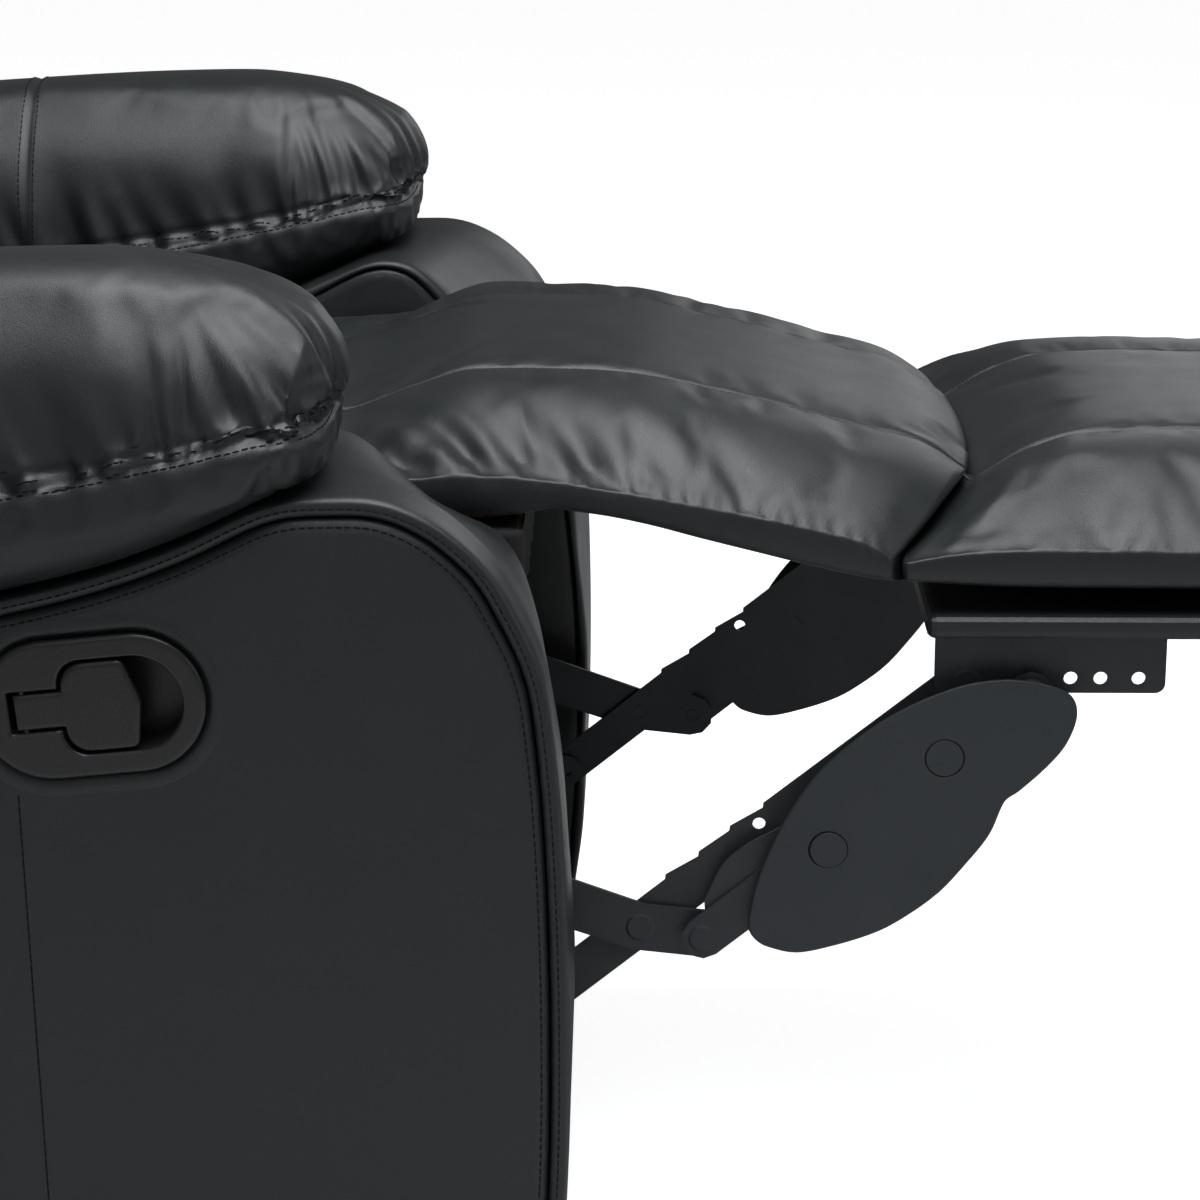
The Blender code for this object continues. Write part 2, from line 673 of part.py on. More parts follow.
def make_handle():
    face = ARM_OUTER + GAP
    body = stadium(CUP_LENGTH - 2 * CUP_LIP, CUP_WIDTH - 2 * CUP_LIP)
    inside = face - CUP_DEPTH
    rim = stadium(CUP_LENGTH, CUP_WIDTH)
    block = side_plate("block", tilted(body), span(RIGHT, inside, face + CUP_FLANGE / 2), PLASTIC)
    flange = side_plate("flange", tilted(rim), span(RIGHT, face, face + CUP_FLANGE), PLASTIC)
    cup = mesh_of(flange, "handle_cup")
    boolean(cup, mesh_of(block), "UNION")
    pocket_span = span(RIGHT, inside + CUP_FLOOR, face + CUP_FLANGE + CUT_OVERRUN)
    boolean(cup, mesh_of(side_plate("pocket", tilted(pocket_outline()), pocket_span, PLASTIC)))
    axis = paddle_axis()
    tilt = Vector((0, math.sin(CUP_TILT), math.cos(CUP_TILT)))
    half_pin = NECK_WIDTH / 2 + PADDLE_PIN_GRIP
    bore = PADDLE_PIN_RADIUS + RUNNING_GAP
    boolean(cup, turned("pin_bore", rod_profile(bore, half_pin + GAP), PLASTIC, axis, tilt, RIVET_FACETS))
    rod = rod_profile(PADDLE_PIN_RADIUS, half_pin)
    turned("paddle_pin", rod, DARK_STEEL, axis, tilt, RIVET_FACETS)
    front = face + CUP_FLANGE
    paddle = mesh_of(side_plate(
        "handle_paddle", tilted(paddle_outline()), span(RIGHT, front - PADDLE_THICKNESS, front), PLASTIC,
    ))
    paddle_bore = turned("paddle_bore", rod_profile(bore, half_pin), PLASTIC, axis, tilt, RIVET_FACETS)
    boolean(paddle, paddle_bore)
    body_empty("paddle_hinge", axis, [paddle])


def rod_profile(radius, half_length):
    return ((0, half_length), (radius, half_length), (radius, -half_length), (0, -half_length))


def body_empty(name, place, pieces):
    """Pieces that move together hang on an empty on their joint's axis."""
    empty = bpy.data.objects.new(name, None)
    parts.objects.link(empty)
    empty.location = place
    bpy.context.view_layer.update()
    for piece in pieces:
        piece.parent = empty
        piece.matrix_parent_inverse = empty.matrix_world.inverted()
    return empty


# Seat frame and base
def make_base():
    base_inner = inner_bracket_x() + STEEL
    for side, mark in SIDES:
        box(
            f"base_side_rail_{mark}", (-BASE_RAIL_REAR, -BASE_RAIL_FRONT), (BASE_RAIL_BOTTOM, BASE_RAIL_TOP),
            span(side, base_inner + GAP, SEAT_HALF - GAP), PINE,
        )
    cross_z = (BASE_RAIL_BOTTOM, BASE_RAIL_BOTTOM + CROSS_RAIL_HEIGHT)
    front_rail = box(
        "front_cross_rail", (-BASE_RAIL_FRONT - CROSS_RAIL_DEPTH, -BASE_RAIL_FRONT), cross_z,
        (-base_inner, base_inner), DARK_STEEL,
    )
    for side, mark in SIDES:
        boolean(front_rail, make_tube_ear(side), "UNION")
    box(
        "rear_cross_rail", (-BASE_RAIL_REAR, -BASE_RAIL_REAR + CROSS_RAIL_DEPTH), cross_z,
        (-base_inner, base_inner), PINE,
    )
    skirt_half = SEAT_HALF - GAP
    box(
        "rear_skirt", (-SKIRT_PLACE, -SKIRT_PLACE + SKIRT_THICKNESS), (SKIRT_BOTTOM, SKIRT_TOP),
        (-skirt_half, skirt_half), LEATHER,
    )
    height = FLOOR_GAP - GAP
    foot_x = (SEAT_HALF + INNER_PANEL + ARM_CAVITY_OUTER) / 2
    foot = (
        (0, height), (FOOT_RADIUS, height), (FOOT_RADIUS, FOOT_EDGE), (FOOT_RADIUS - FOOT_EDGE, 0), (0, 0),
    )
    for side, mark in SIDES:
        for end, place in (("front", FOOT_INSET), ("rear", ARM_LENGTH - FOOT_INSET)):
            turned(f"glide_foot_{end}_{mark}", foot, FOOT_PLASTIC, at(-place, 0, side * foot_x), (0, 0, 1))


def make_seat():
    z_ends = (SEAT_RAIL_BOTTOM, SEAT_RAIL_TOP)
    half = SEAT_FRAME_WIDTH / 2
    side_front = -SEAT_FRONT - FRONT_RAIL_DEPTH - GAP
    for side, mark in SIDES:
        box(
            f"seat_side_rail_{mark}", (-SEAT_REAR, side_front), z_ends,
            span(side, half - SEAT_RAIL_WIDTH, half), PINE,
        )
    box("seat_front_rail", (side_front + GAP, -SEAT_FRONT), z_ends, (-half, half), PINE)
    inner = half - SEAT_RAIL_WIDTH - GAP
    box("seat_rear_rail", (-SEAT_REAR, -SEAT_REAR + REAR_RAIL_DEPTH), z_ends, (-inner, inner), PINE)
    wire_z = SEAT_RAIL_TOP + SPRING_WIRE + GAP
    start, end = -SEAT_REAR + REAR_RAIL_DEPTH / 2, -SEAT_FRONT - FRONT_RAIL_DEPTH / 2
    for number in range(SPRING_COUNT):
        centre = SEAT_FRAME_WIDTH * SPRING_SPAN_share * (number / (SPRING_COUNT - 1) - 0.5)
        data = bpy.data.curves.new("spring", "CURVE")
        data.dimensions = "3D"
        data.bevel_depth = SPRING_WIRE
        data.bevel_resolution = 1
        data.use_fill_caps = True
        spline = data.splines.new("POLY")
        spline.points.add(SPRING_BENDS)
        for bend, point in enumerate(spline.points):
            u = start + (end - start) * bend / SPRING_BENDS
            swing = SPRING_SWING * (-1) ** bend / 2 if 0 < bend < SPRING_BENDS else 0
            point.co = (*at(u, wire_z, centre + swing), 1)
        add(f"seat_spring_{number + 1}", data, SPRING_STEEL)


# Quilted pads: rings across the seat's width
def top_height(share, welt, seam):
    """Height of a pad's top at a share of its half width, with a groove at each seam."""
    crown = seam + PAD_CROWN
    if share <= PAD_SEAM_share:
        height = seam + (crown - seam) * math.sqrt(1 - (share / PAD_SEAM_share) ** 2)
    else:
        fall = (share - PAD_SEAM_share) / (1 - PAD_SEAM_share)
        height = welt + (seam - welt) * (1 - fall ** PAD_FALL_POWER)
    if share == PAD_SEAM_share:
        height -= SEAM_GROOVE
    return height


PAD_TOP_shares = (0.0, 0.24, 0.43, PAD_SEAM_share, 0.53, 0.66, 0.82, 0.94, 1.0)
PAD_UNDER_shares = (0.985, 0.86, 0.5, 0.0)


def pad_ring(place, under, welt, seam, sag=0.0):
    """One ring of a pad; place(x, z) tells how far forward the ring stands there."""
    half = PAD_WIDTH / 2
    tops = [(share, top_height(share, welt, seam)) for share in PAD_TOP_shares]
    unders = [(share, under - sag * (1 - share ** 2)) for share in PAD_UNDER_shares]
    right = tops + unders
    left = [(-share, height) for share, height in reversed(right) if share > 0]
    return [at(place(share * half, z), z, share * half) for share, z in right + left]


def cut_plane(x, z):
    return CUT_PLACE - (z - CUT_HEIGHT) * CUT_SLANT


def lobe(x, z):
    return CHAISE_EDGE + (CHAISE_TIP - CHAISE_EDGE) * (1 - abs(2 * x / PAD_WIDTH) ** LOBE_POWER)


def upright_at(u):
    return lambda x, z: u


def heights(shares):
    return [PAD_LOW + PAD_RISE * share for share in shares]


def make_seat_cushion():
    rings = []
    for place, *levels in CUSHION_ROW_shares:
        rings.append(pad_ring(upright_at(CUT_PLACE - CUSHION_LENGTH * place), *heights(levels)))
    rings.append(pad_ring(cut_plane, *heights(CUT_HEIGHT_shares)))
    return loft("seat_cushion", rings, LEATHER)


def make_chaise_pad():
    rings = [pad_ring(lambda x, z: cut_plane(x, z) + GAP, *heights(CUT_HEIGHT_shares))]
    for place, *levels in CHAISE_ROW_shares:
        rings.append(pad_ring(upright_at(CUT_PLACE + (CHAISE_EDGE - CUT_PLACE) * place), *heights(levels)))
    rings.append(pad_ring(lobe, *heights(CHAISE_END_HEIGHT_shares)))
    return loft("chaise_pad", rings, LEATHER)


def beyond_lobe(place):
    """Where a ring of the footrest pad stands, from the chaise pad's lobed edge to the toe."""
    return lambda x, z: lobe(x, z) + GAP + (FOOT_PAD_TOE - GAP - lobe(x, z)) * place


def make_footrest_pad():
    """The pad's underside bellies down onto the board, most of all at its middle."""
    board_top = FOOT_BOARD_UNDER + FOOT_BOARD_THICKNESS
    rings = [pad_ring(beyond_lobe(0.0), *heights(FOOT_PAD_START_HEIGHT_shares))]
    for place, *levels in FOOT_PAD_ROW_shares:
        under, welt, seam = heights(levels)
        nearest_end = min(place, 1 - place)
        belly = (under - board_top - GAP) * min(1.0, 4 * nearest_end)
        rings.append(pad_ring(beyond_lobe(place), under, welt, seam, belly))
    return loft("footrest_pad", rings, LEATHER)


# Footrest mechanism
def layer(side, number):
    start = MECHANISM_X + LAYER_STEP * number
    return span(side, start, start + STEEL)


def inner_bracket_x():
    return MECHANISM_X - 2 * LAYER_STEP


def inner_face(number):
    return MECHANISM_X + LAYER_STEP * number


def outer_face(number):
    return MECHANISM_X + LAYER_STEP * number + STEEL


def rivet(link, side, joint, inner, outer):
    """Fix a rivet in a link: its shank starts at inner and its head lies on outer, along X."""
    length = outer - inner
    profile = (
        (0, RIVET_HEAD), (RIVET_HEAD_RADIUS - RIVET_HEAD, RIVET_HEAD), (RIVET_HEAD_RADIUS, RIVET_HEAD / 2),
        (RIVET_HEAD_RADIUS, 0), (RIVET_RADIUS, 0), (RIVET_RADIUS, -length), (0, -length),
    )
    place = at(joint[0], joint[1], side * outer)
    boolean(link, turned("rivet", profile, DARK_STEEL, place, (side, 0, 0), RIVET_FACETS), "UNION")


def rivet_hole(joint):
    return circle(joint, RIVET_RADIUS + RUNNING_GAP, RIVET_FACETS)


def notched_top():
    """The long link's upper edge, with small steps between its joint and its hole."""
    length = math.dist(FRONT_LINK_JOINT, REST_JOINT)
    edge = []
    for number, share in enumerate(NOTCH_PLACES_shares):
        rise = LONG_LINK_RADIUS + NOTCH_DEPTH * (1 - number % 2 / 2)
        edge.append(along_link(FRONT_LINK_JOINT, REST_JOINT, length * share, rise - NOTCH_DEPTH))
        edge.append(along_link(FRONT_LINK_JOINT, REST_JOINT, length * share + NOTCH_DEPTH, rise))
    return list(reversed(edge))


def link(name, side, number, outline, holes, pivot):
    return mesh_of(side_plate(name, outline, layer(side, number), DARK_STEEL, holes, pivot))


def make_links():
    moving = {"front": [], "long": [], "cover": [], "rear": [], "rest": []}
    for side, mark in SIDES:
        outline = strap((FRONT_PIVOT, FRONT_LINK_JOINT, COVER_LINK_JOINT), FRONT_LINK_RADII)
        holes = [rivet_hole(FRONT_PIVOT), rivet_hole(COVER_LINK_JOINT)]
        front = link(f"front_link_{mark}", side, 1, outline, holes, FRONT_PIVOT)
        rivet(front, side, FRONT_LINK_JOINT, inner_face(0), outer_face(1) - EMBEDDED)
        outline = strap((TAIL_JOINT, REST_JOINT), (LONG_LINK_RADIUS, LONG_LINK_RADIUS))
        round_end = ARC_STEPS + 1
        outline = outline[:round_end] + notched_top() + outline[round_end:]
        holes = [rivet_hole(joint) for joint in (FRONT_LINK_JOINT, REST_JOINT, TAIL_JOINT)]
        holes.append(circle(LONG_LINK_HOLE, LONG_LINK_HOLE_RADIUS, RIVET_FACETS))
        long = link(f"long_link_{mark}", side, 0, outline, holes, FRONT_LINK_JOINT)
        outline = strap((COVER_LINK_JOINT, COVER_REST_JOINT), (COVER_LINK_RADIUS,) * 2)
        cover = link(f"cover_link_{mark}", side, 3, outline, [rivet_hole(COVER_REST_JOINT)], COVER_LINK_JOINT)
        rivet(cover, side, COVER_LINK_JOINT, inner_face(1), outer_face(3) - EMBEDDED)
        outline = strap((REAR_PIVOT, TAIL_JOINT), (REAR_LINK_RADIUS,) * 2)
        holes = [circle(REAR_PIVOT, JOURNAL_RADIUS + GAP, RIVET_FACETS), rivet_hole(TAIL_JOINT)]
        rear = link(f"rear_link_{mark}", side, -1, outline, holes, REAR_PIVOT)
        bracket = make_ottoman_bracket(side, mark)
        rivet(bracket, side, REST_JOINT, inner_face(0), outer_face(BRACKET_LAYER) - EMBEDDED)
        rivet(bracket, side, COVER_REST_JOINT, inner_face(BRACKET_LAYER) + EMBEDDED, outer_face(3) + GAP)
        make_side_plate(side, mark)
        covers = [cover, make_guard(side, mark)]
        for name, pieces in zip(moving, ([front], [long], covers, [rear], [bracket])):
            moving[name] += pieces
    moving["rear"].append(make_torque_tube())
    return moving


def make_guard(side, mark):
    """The curved guard plate, held off the cover link by two round posts."""
    start, end = COVER_LINK_JOINT, COVER_REST_JOINT
    outline = [
        along_link(start, end, GUARD_LENGTH * s, GUARD_WIDTH * n) for s, n in GUARD_OUTLINE_shares
    ]
    outline = smooth([*outline, outline[0]], 2)[:-1]
    inner = MECHANISM_X + 3 * LAYER_STEP + STEEL + GUARD_STANDOFF
    plate = mesh_of(side_plate(
        f"guard_plate_{mark}", outline, span(side, inner, inner + STEEL), DARK_STEEL, (), start,
    ))
    root = inner - GUARD_STANDOFF + GAP
    for s, n in GUARD_POSTS_shares:
        u, z = along_link(start, end, GUARD_LENGTH * s, GUARD_WIDTH * n)
        length = GUARD_STANDOFF - GAP + STEEL + GUARD_POST_PROUD
        profile = ((0, length), (GUARD_POST_RADIUS, length), (GUARD_POST_RADIUS, 0), (0, 0))
        boolean(plate, turned("post", profile, DARK_STEEL, at(u, z, side * root), (side, 0, 0)), "UNION")
    return plate


def make_side_plate(side, mark):
    """The fixed plate that carries the front link's pivot and the seat rail."""
    tongue = arc(FRONT_PIVOT, TONGUE_RADIUS, math.pi / 2, -math.pi / 2)
    bottom = BASE_RAIL_TOP + GAP
    outline = [
        *tongue, (-SIDE_PLATE_FRONT + SIDE_PLATE_SLOPE / 2, FRONT_PIVOT[1] - TONGUE_RADIUS),
        (-SIDE_PLATE_FRONT, bottom), (-SIDE_PLATE_REAR, bottom), (-SIDE_PLATE_REAR, SIDE_PLATE_TOP),
        (-SIDE_PLATE_FRONT - SIDE_PLATE_SLOPE, SIDE_PLATE_TOP),
        (-SIDE_PLATE_FRONT, FRONT_PIVOT[1] + TONGUE_RADIUS),
    ]
    plate = mesh_of(side_plate(f"mechanism_side_plate_{mark}", outline, layer(side, 2), DARK_STEEL))
    start = MECHANISM_X + LAYER_STEP
    length = LAYER_STEP + STEEL / 2
    profile = ((0, length), (RIVET_RADIUS, length), (RIVET_RADIUS, 0), (0, 0))
    place = at(*FRONT_PIVOT, side * start)
    boolean(plate, turned("stud", profile, DARK_STEEL, place, (side, 0, 0), RIVET_FACETS), "UNION")


def make_tube_ear(side):
    """The ear on the front cross rail that the torque tube turns in."""
    inner = side * inner_bracket_x()
    radius = INNER_BRACKET_RADIUS
    rear = -BASE_RAIL_FRONT - CROSS_RAIL_DEPTH / 2
    low, high = REAR_PIVOT[1] - radius, REAR_PIVOT[1] + radius
    ear = [*arc(REAR_PIVOT, radius, -math.pi / 2, math.pi / 2), (rear, high), (rear, low)]
    bore = circle(REAR_PIVOT, TUBE_RADIUS + RUNNING_GAP)
    return mesh_of(side_plate("tube_ear", ear, (inner, inner + side * STEEL), DARK_STEEL, [bore]))


def make_ottoman_bracket(side, mark):
    """Steel angle under the footrest board: an upright web with holes and a flat flange."""
    start = MECHANISM_X + LAYER_STEP * BRACKET_LAYER
    top = FOOT_BOARD_UNDER - GAP
    front = BRACKET_REAR + BRACKET_LENGTH
    corner = BRACKET_CORNER
    web_top = top - EMBEDDED
    outline = [
        (BRACKET_REAR, web_top), (BRACKET_REAR, BRACKET_UNDER),
        *arc((front - corner, BRACKET_UNDER + corner), corner, -math.pi / 2, 0), (front, web_top),
    ]
    holes = [circle((u, BRACKET_HOLE_LINE), BRACKET_HOLE_RADIUS, RIVET_FACETS) for u in BRACKET_HOLES]
    web = mesh_of(side_plate(
        f"ottoman_bracket_{mark}", outline, span(side, start, start + STEEL), DARK_STEEL, holes, REST_JOINT,
    ))
    flange = box(
        "flange", (BRACKET_REAR + EMBEDDED, front - EMBEDDED), (top - STEEL, top),
        span(side, start - BRACKET_FLANGE, start + STEEL - EMBEDDED), DARK_STEEL, 0,
    )
    boolean(web, flange, "UNION")
    return web


def make_torque_tube():
    """The cross tube that ties the two rear links, with a smaller journal at each end."""
    shoulder = inner_bracket_x() + STEEL + GAP
    end = MECHANISM_X - LAYER_STEP + STEEL
    profile = (
        (0, end), (JOURNAL_RADIUS, end), (JOURNAL_RADIUS, shoulder), (TUBE_RADIUS, shoulder),
        (TUBE_RADIUS, -shoulder), (JOURNAL_RADIUS, -shoulder), (JOURNAL_RADIUS, -end), (0, -end),
    )
    return turned("torque_tube", profile, DARK_STEEL, at(*REAR_PIVOT), (1, 0, 0))


def make_footrest_board():
    half = PAD_WIDTH / 2
    board = box(
        "footrest_board", (FOOT_BOARD_REAR, FOOT_BOARD_REAR + FOOT_BOARD_LENGTH),
        (FOOT_BOARD_UNDER, FOOT_BOARD_UNDER + FOOT_BOARD_THICKNESS), (-half, half), LEATHER, FOOT_BOARD_EDGE,
    )
    board.modifiers["edge"].segments = 3
    return board


# Back: made upright on its hinge line, then leaned by its empty
UPRIGHT_ORIGIN = Vector((0, 0, 0))


def soft_block(name, v_ends, w_ends, x_ends, depth_shares, draw):
    """A crowned pillow on the back: flat behind, bulging forward, drawn in at its edges."""
    rings = []
    for share_x, bulge in depth_shares:
        x = x_ends[0] + (x_ends[1] - x_ends[0]) * share_x
        middle = (w_ends[0] + w_ends[1]) / 2
        half = (w_ends[1] - w_ends[0]) / 2 - draw * (1 - bulge)
        depth = (v_ends[1] - v_ends[0]) * bulge
        ring = [at(v_ends[0], middle + end, x, UPRIGHT_ORIGIN) for end in (-half, half)]
        for step in range(1, 2 * ARC_STEPS):
            angle = math.pi / 2 - math.pi * step / (2 * ARC_STEPS)
            lift = math.copysign(abs(math.sin(angle)) ** BLOCK_RISE_POWER, math.sin(angle))
            reach = abs(math.cos(angle)) ** BLOCK_REACH_POWER
            ring.append(at(v_ends[0] + depth * reach, middle + half * lift, x, UPRIGHT_ORIGIN))
        rings.append(ring)
    return loft(name, rings, LEATHER)


PILLOW_BULGE_shares = (
    (0.0, 0.55), (0.02, 0.74), (0.08, 0.90), (0.22, 0.98), (0.5, 1.0), (0.78, 0.98), (0.92, 0.90),
    (0.98, 0.74), (1.0, 0.55),
)
WING_BULGE_shares = ((0.0, 0.80), (0.12, 0.92), (0.45, 1.0), (0.8, 0.86), (0.95, 0.6), (1.0, 0.35))


def make_back():
    pieces = []
    upright_outer = SEAT_FRAME_WIDTH / 2
    upright_inner = upright_outer - UPRIGHT_WIDTH
    half_depth = UPRIGHT_DEPTH / 2
    pin_hole = circle((0.0, 0.0), HINGE_PIN_RADIUS + RUNNING_GAP)
    outline = rounded_box((-half_depth, half_depth), (-UPRIGHT_BOTTOM, UPRIGHT_TOP), half_depth / 2)
    for side, mark in SIDES:
        pieces.append(side_plate(
            f"back_upright_{mark}", outline, span(side, upright_inner, upright_outer), PINE, [pin_hole],
            origin=UPRIGHT_ORIGIN,
        ))
    rail_half = upright_inner - GAP
    depth = (-BACK_RAIL_DEPTH / 2, BACK_RAIL_DEPTH / 2)
    for name, low in (("back_bottom_rail", BACK_RAIL_LOW), ("back_top_rail", BACK_RAIL_HIGH)):
        pieces.append(box(
            name, depth, (low, low + BACK_RAIL_HEIGHT), (-rail_half, rail_half), PINE, origin=UPRIGHT_ORIGIN,
        ))
    pieces.append(make_rear_panel())
    half = BACK_PILLOW_WIDTH / 2
    for name, low, high, thickness in BACK_PILLOWS:
        pieces.append(soft_block(
            name, (BACK_SURFACE, BACK_SURFACE + thickness), (low, high), (-half, half),
            PILLOW_BULGE_shares, thickness / 4,
        ))
    for side, mark in SIDES:
        pieces.append(soft_block(
            f"back_wing_{mark}", (-half_depth, WING_DEPTH - half_depth), (WING_LOW, WING_TOP),
            span(side, half + GAP, half + WING_WIDTH), WING_BULGE_shares, WING_WIDTH / 4,
        ))
    hinge = bpy.data.objects.new("back_hinge", None)
    parts.objects.link(hinge)
    hinge.location = at(-HINGE_PLACE, HINGE_HEIGHT)
    hinge.rotation_euler = (-BACK_LEAN, 0, 0)
    for piece in pieces:
        piece.parent = hinge
    make_hinge_brackets(upright_inner, upright_outer)


def make_rear_panel():
    """The upholstered rear board: narrow between the arms, wide above them."""
    low, wide = REAR_PANEL_WIDTH / 2, SHOULDER_WIDTH / 2
    corner = SHOULDER_CORNER
    quarter = math.pi / 2
    right = [(low, REAR_PANEL_LOW), (low, SHOULDER), (wide, SHOULDER)]
    right += arc((wide - corner, REAR_PANEL_TOP - corner), corner, 0, quarter)
    outline = right + [(-x, w) for x, w in reversed(right)]
    data = outline_curve([outline])
    data.extrude = REAR_PANEL / 2
    place = at(-BACK_SURFACE - REAR_PANEL / 2, 0, 0, UPRIGHT_ORIGIN)
    return add("back_rear_panel", data, LEATHER, place, (math.pi / 2, 0, 0))


def make_hinge_brackets(upright_inner, upright_outer):
    """Plates on the base rails, each with the fixed pin that an upright turns on."""
    hinge = (-HINGE_PLACE, HINGE_HEIGHT)
    half = HINGE_BRACKET_WIDTH / 2
    bottom = BASE_RAIL_TOP + GAP
    inner = upright_outer + 2 * GAP
    outer = inner + HINGE_BRACKET
    length = outer - HINGE_BRACKET / 2 - upright_inner
    profile = ((0, length), (HINGE_PIN_RADIUS, length), (HINGE_PIN_RADIUS, 0), (0, 0))
    for side, mark in SIDES:
        top = arc(hinge, HINGE_BRACKET_RADIUS, 0, math.pi, 2 * ARC_STEPS)
        outline = [*top, (hinge[0] - half, bottom), (hinge[0] + half, bottom)]
        plate = mesh_of(side_plate(f"hinge_bracket_{mark}", outline, span(side, inner, outer), DARK_STEEL))
        pin = turned("pin", profile, DARK_STEEL, at(*hinge, side * upright_inner), (side, 0, 0))
        boolean(plate, pin, "UNION")


def main():
    for side, mark in SIDES:
        make_arm(side, mark)
    make_handle()
    make_base()
    make_seat()
    make_seat_cushion()
    make_chaise_pad()
    pad = make_footrest_pad()
    moving = make_links()
    footrest = [pad, make_footrest_board(), *moving["rest"]]
    body_empty("footrest_fold", at(*REST_JOINT), footrest)
    body_empty("front_link_fold", at(*FRONT_PIVOT), moving["front"])
    body_empty("long_link_fold", at(*FRONT_LINK_JOINT), moving["long"])
    body_empty("cover_link_fold", at(*COVER_LINK_JOINT), moving["cover"])
    body_empty("rear_link_fold", at(*REAR_PIVOT), moving["rear"])
    make_back()


main()
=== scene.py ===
"""Looks of a recliner chair with pillow arms and a fold-out footrest.

Units are metres in the chair's own frame: +Z is up and the chair faces -Y. Side views are written as
(u, z): u is the distance forward of the arms' front edge and z the height above the floor.
"""
import json
import math

import bmesh
import bpy
import numpy as np
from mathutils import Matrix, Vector
from mathutils.bvhtree import BVHTree


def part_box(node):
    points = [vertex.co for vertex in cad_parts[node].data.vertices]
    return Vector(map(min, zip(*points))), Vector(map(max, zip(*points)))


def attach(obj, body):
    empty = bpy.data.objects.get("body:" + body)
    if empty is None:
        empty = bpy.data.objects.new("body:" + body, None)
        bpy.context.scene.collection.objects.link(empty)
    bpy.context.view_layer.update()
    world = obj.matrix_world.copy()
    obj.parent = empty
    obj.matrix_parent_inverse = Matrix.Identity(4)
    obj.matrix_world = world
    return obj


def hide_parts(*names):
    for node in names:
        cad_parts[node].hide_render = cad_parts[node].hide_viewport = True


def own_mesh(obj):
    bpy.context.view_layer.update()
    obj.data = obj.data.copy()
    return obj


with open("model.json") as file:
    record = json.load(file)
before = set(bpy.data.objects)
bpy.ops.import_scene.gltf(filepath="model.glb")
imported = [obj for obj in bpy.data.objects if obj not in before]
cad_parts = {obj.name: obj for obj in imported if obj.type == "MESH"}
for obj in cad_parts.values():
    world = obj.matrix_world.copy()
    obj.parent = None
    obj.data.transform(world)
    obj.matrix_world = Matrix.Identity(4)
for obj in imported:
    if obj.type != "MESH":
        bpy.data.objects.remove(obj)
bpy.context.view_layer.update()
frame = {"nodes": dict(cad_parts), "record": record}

CORNER_TURN = math.radians(28)
RIGHT, LEFT = -1, 1
SIDES = ((RIGHT, "r"), (LEFT, "l"))
ARM_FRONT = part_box("outer_side_panel_r")[0].y
CELL = 0.0055

# Camera: a long lens, level with the far arm's top and a little ahead of the arms' front
CAMERA_SIDE = 2.152
CAMERA_AHEAD = 0.037
CAMERA_HEIGHT = 0.986
CAMERA_PITCH = math.radians(16.3)
CAMERA_YAW = math.radians(0.64)
FOCAL_WIDTHS = 3422 / 1200
SENSOR = 36.0

# Arm pillows
PILLOW_LOW, PILLOW_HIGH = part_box("arm_pillow_r")
PILLOW_TIP = ARM_FRONT - PILLOW_LOW.y
PILLOW_LENGTH = PILLOW_HIGH.y - PILLOW_LOW.y
PILLOW_HALF = (PILLOW_HIGH.x - PILLOW_LOW.x) / 2
PILLOW_MIDDLE = -(PILLOW_HIGH.x + PILLOW_LOW.x) / 2
ARM_TOP = 0.534
PILLOW_RISE = 0.117
# Place along the length, then underside and top in rises above the arm's top, and half width
PILLOW_shares = (
    (0.0, 0.30, 0.46, 0.10), (0.003, 0.20, 0.56, 0.36), (0.013, 0.10, 0.68, 0.62), (0.035, 0.03, 0.80, 0.83),
    (0.07, -0.03, 0.875, 0.93), (0.1, -0.1, 0.915, 0.965), (0.157, -0.222, 0.962, 0.99), (0.235, -0.355, 0.995, 1.0),
    (0.331, -0.47, 0.985, 1.0), (0.517, -0.65, 0.94, 1.0), (0.702, -0.71, 0.87, 1.0), (0.887, -0.717, 0.74, 0.98),
    (0.96, -0.717, 0.55, 0.90), (0.99, -0.60, 0.20, 0.72), (1.0, -0.45, -0.10, 0.45),
)
PILLOW_SEAM_share = 0.36
PILLOW_TOP_POWER = 2.3
PILLOW_UNDER_POWER = 3.6
PILLOW_NOSE = 0.100
CROSS_SEAM_share = 0.52
NOSE_SEAM = -0.1507
SEAM_BAND = 0.0105
# Gathers over the seam: from and to (in nose lengths, or to the tail), pitch, depth, width, length, lean
GATHERS = (
    (0.02, 1.0, 0.0095, 0.0050, 0.0036, 0.120, 0.10), (1.0, None, 0.0150, 0.0036, 0.0038, 0.070, 0.30),
    (0.0, None, 0.0340, 0.0068, 0.0060, 0.095, 0.35), (0.0, None, 0.0700, 0.0050, 0.0140, 0.130, 0.25),
)

# Arm covers: contours of the outer roll and of the inner edge, as (u, z), from the floor up and back
ARM_OUTER = -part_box("outer_side_panel_r")[0].x
ARM_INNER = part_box("inner_side_panel_l")[0].x
ARM_REAR = ARM_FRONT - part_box("outer_side_panel_r")[1].y
ARM_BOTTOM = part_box("outer_side_panel_r")[0].z
SKIN_LIFT = 0.0012
ARM_STEP = 0.006
OUTER_CONTOUR = (
    (-0.0119, 0.03), (-0.002, 0.13), (0.0, 0.24), (-0.003, 0.345), (-0.009, 0.4147), (-0.0158, 0.4456),
    (-0.0277, 0.4718), (-0.0395, 0.493), (-0.0542, 0.509), (-0.0726, 0.523), (-0.095, 0.5325),
    (-0.119, 0.5346), (-0.158, 0.5308), (-0.206, 0.5085), (-0.248, 0.4930), (-0.3, 0.4795), (-0.4, 0.4585),
    (-0.5, 0.4506),
)
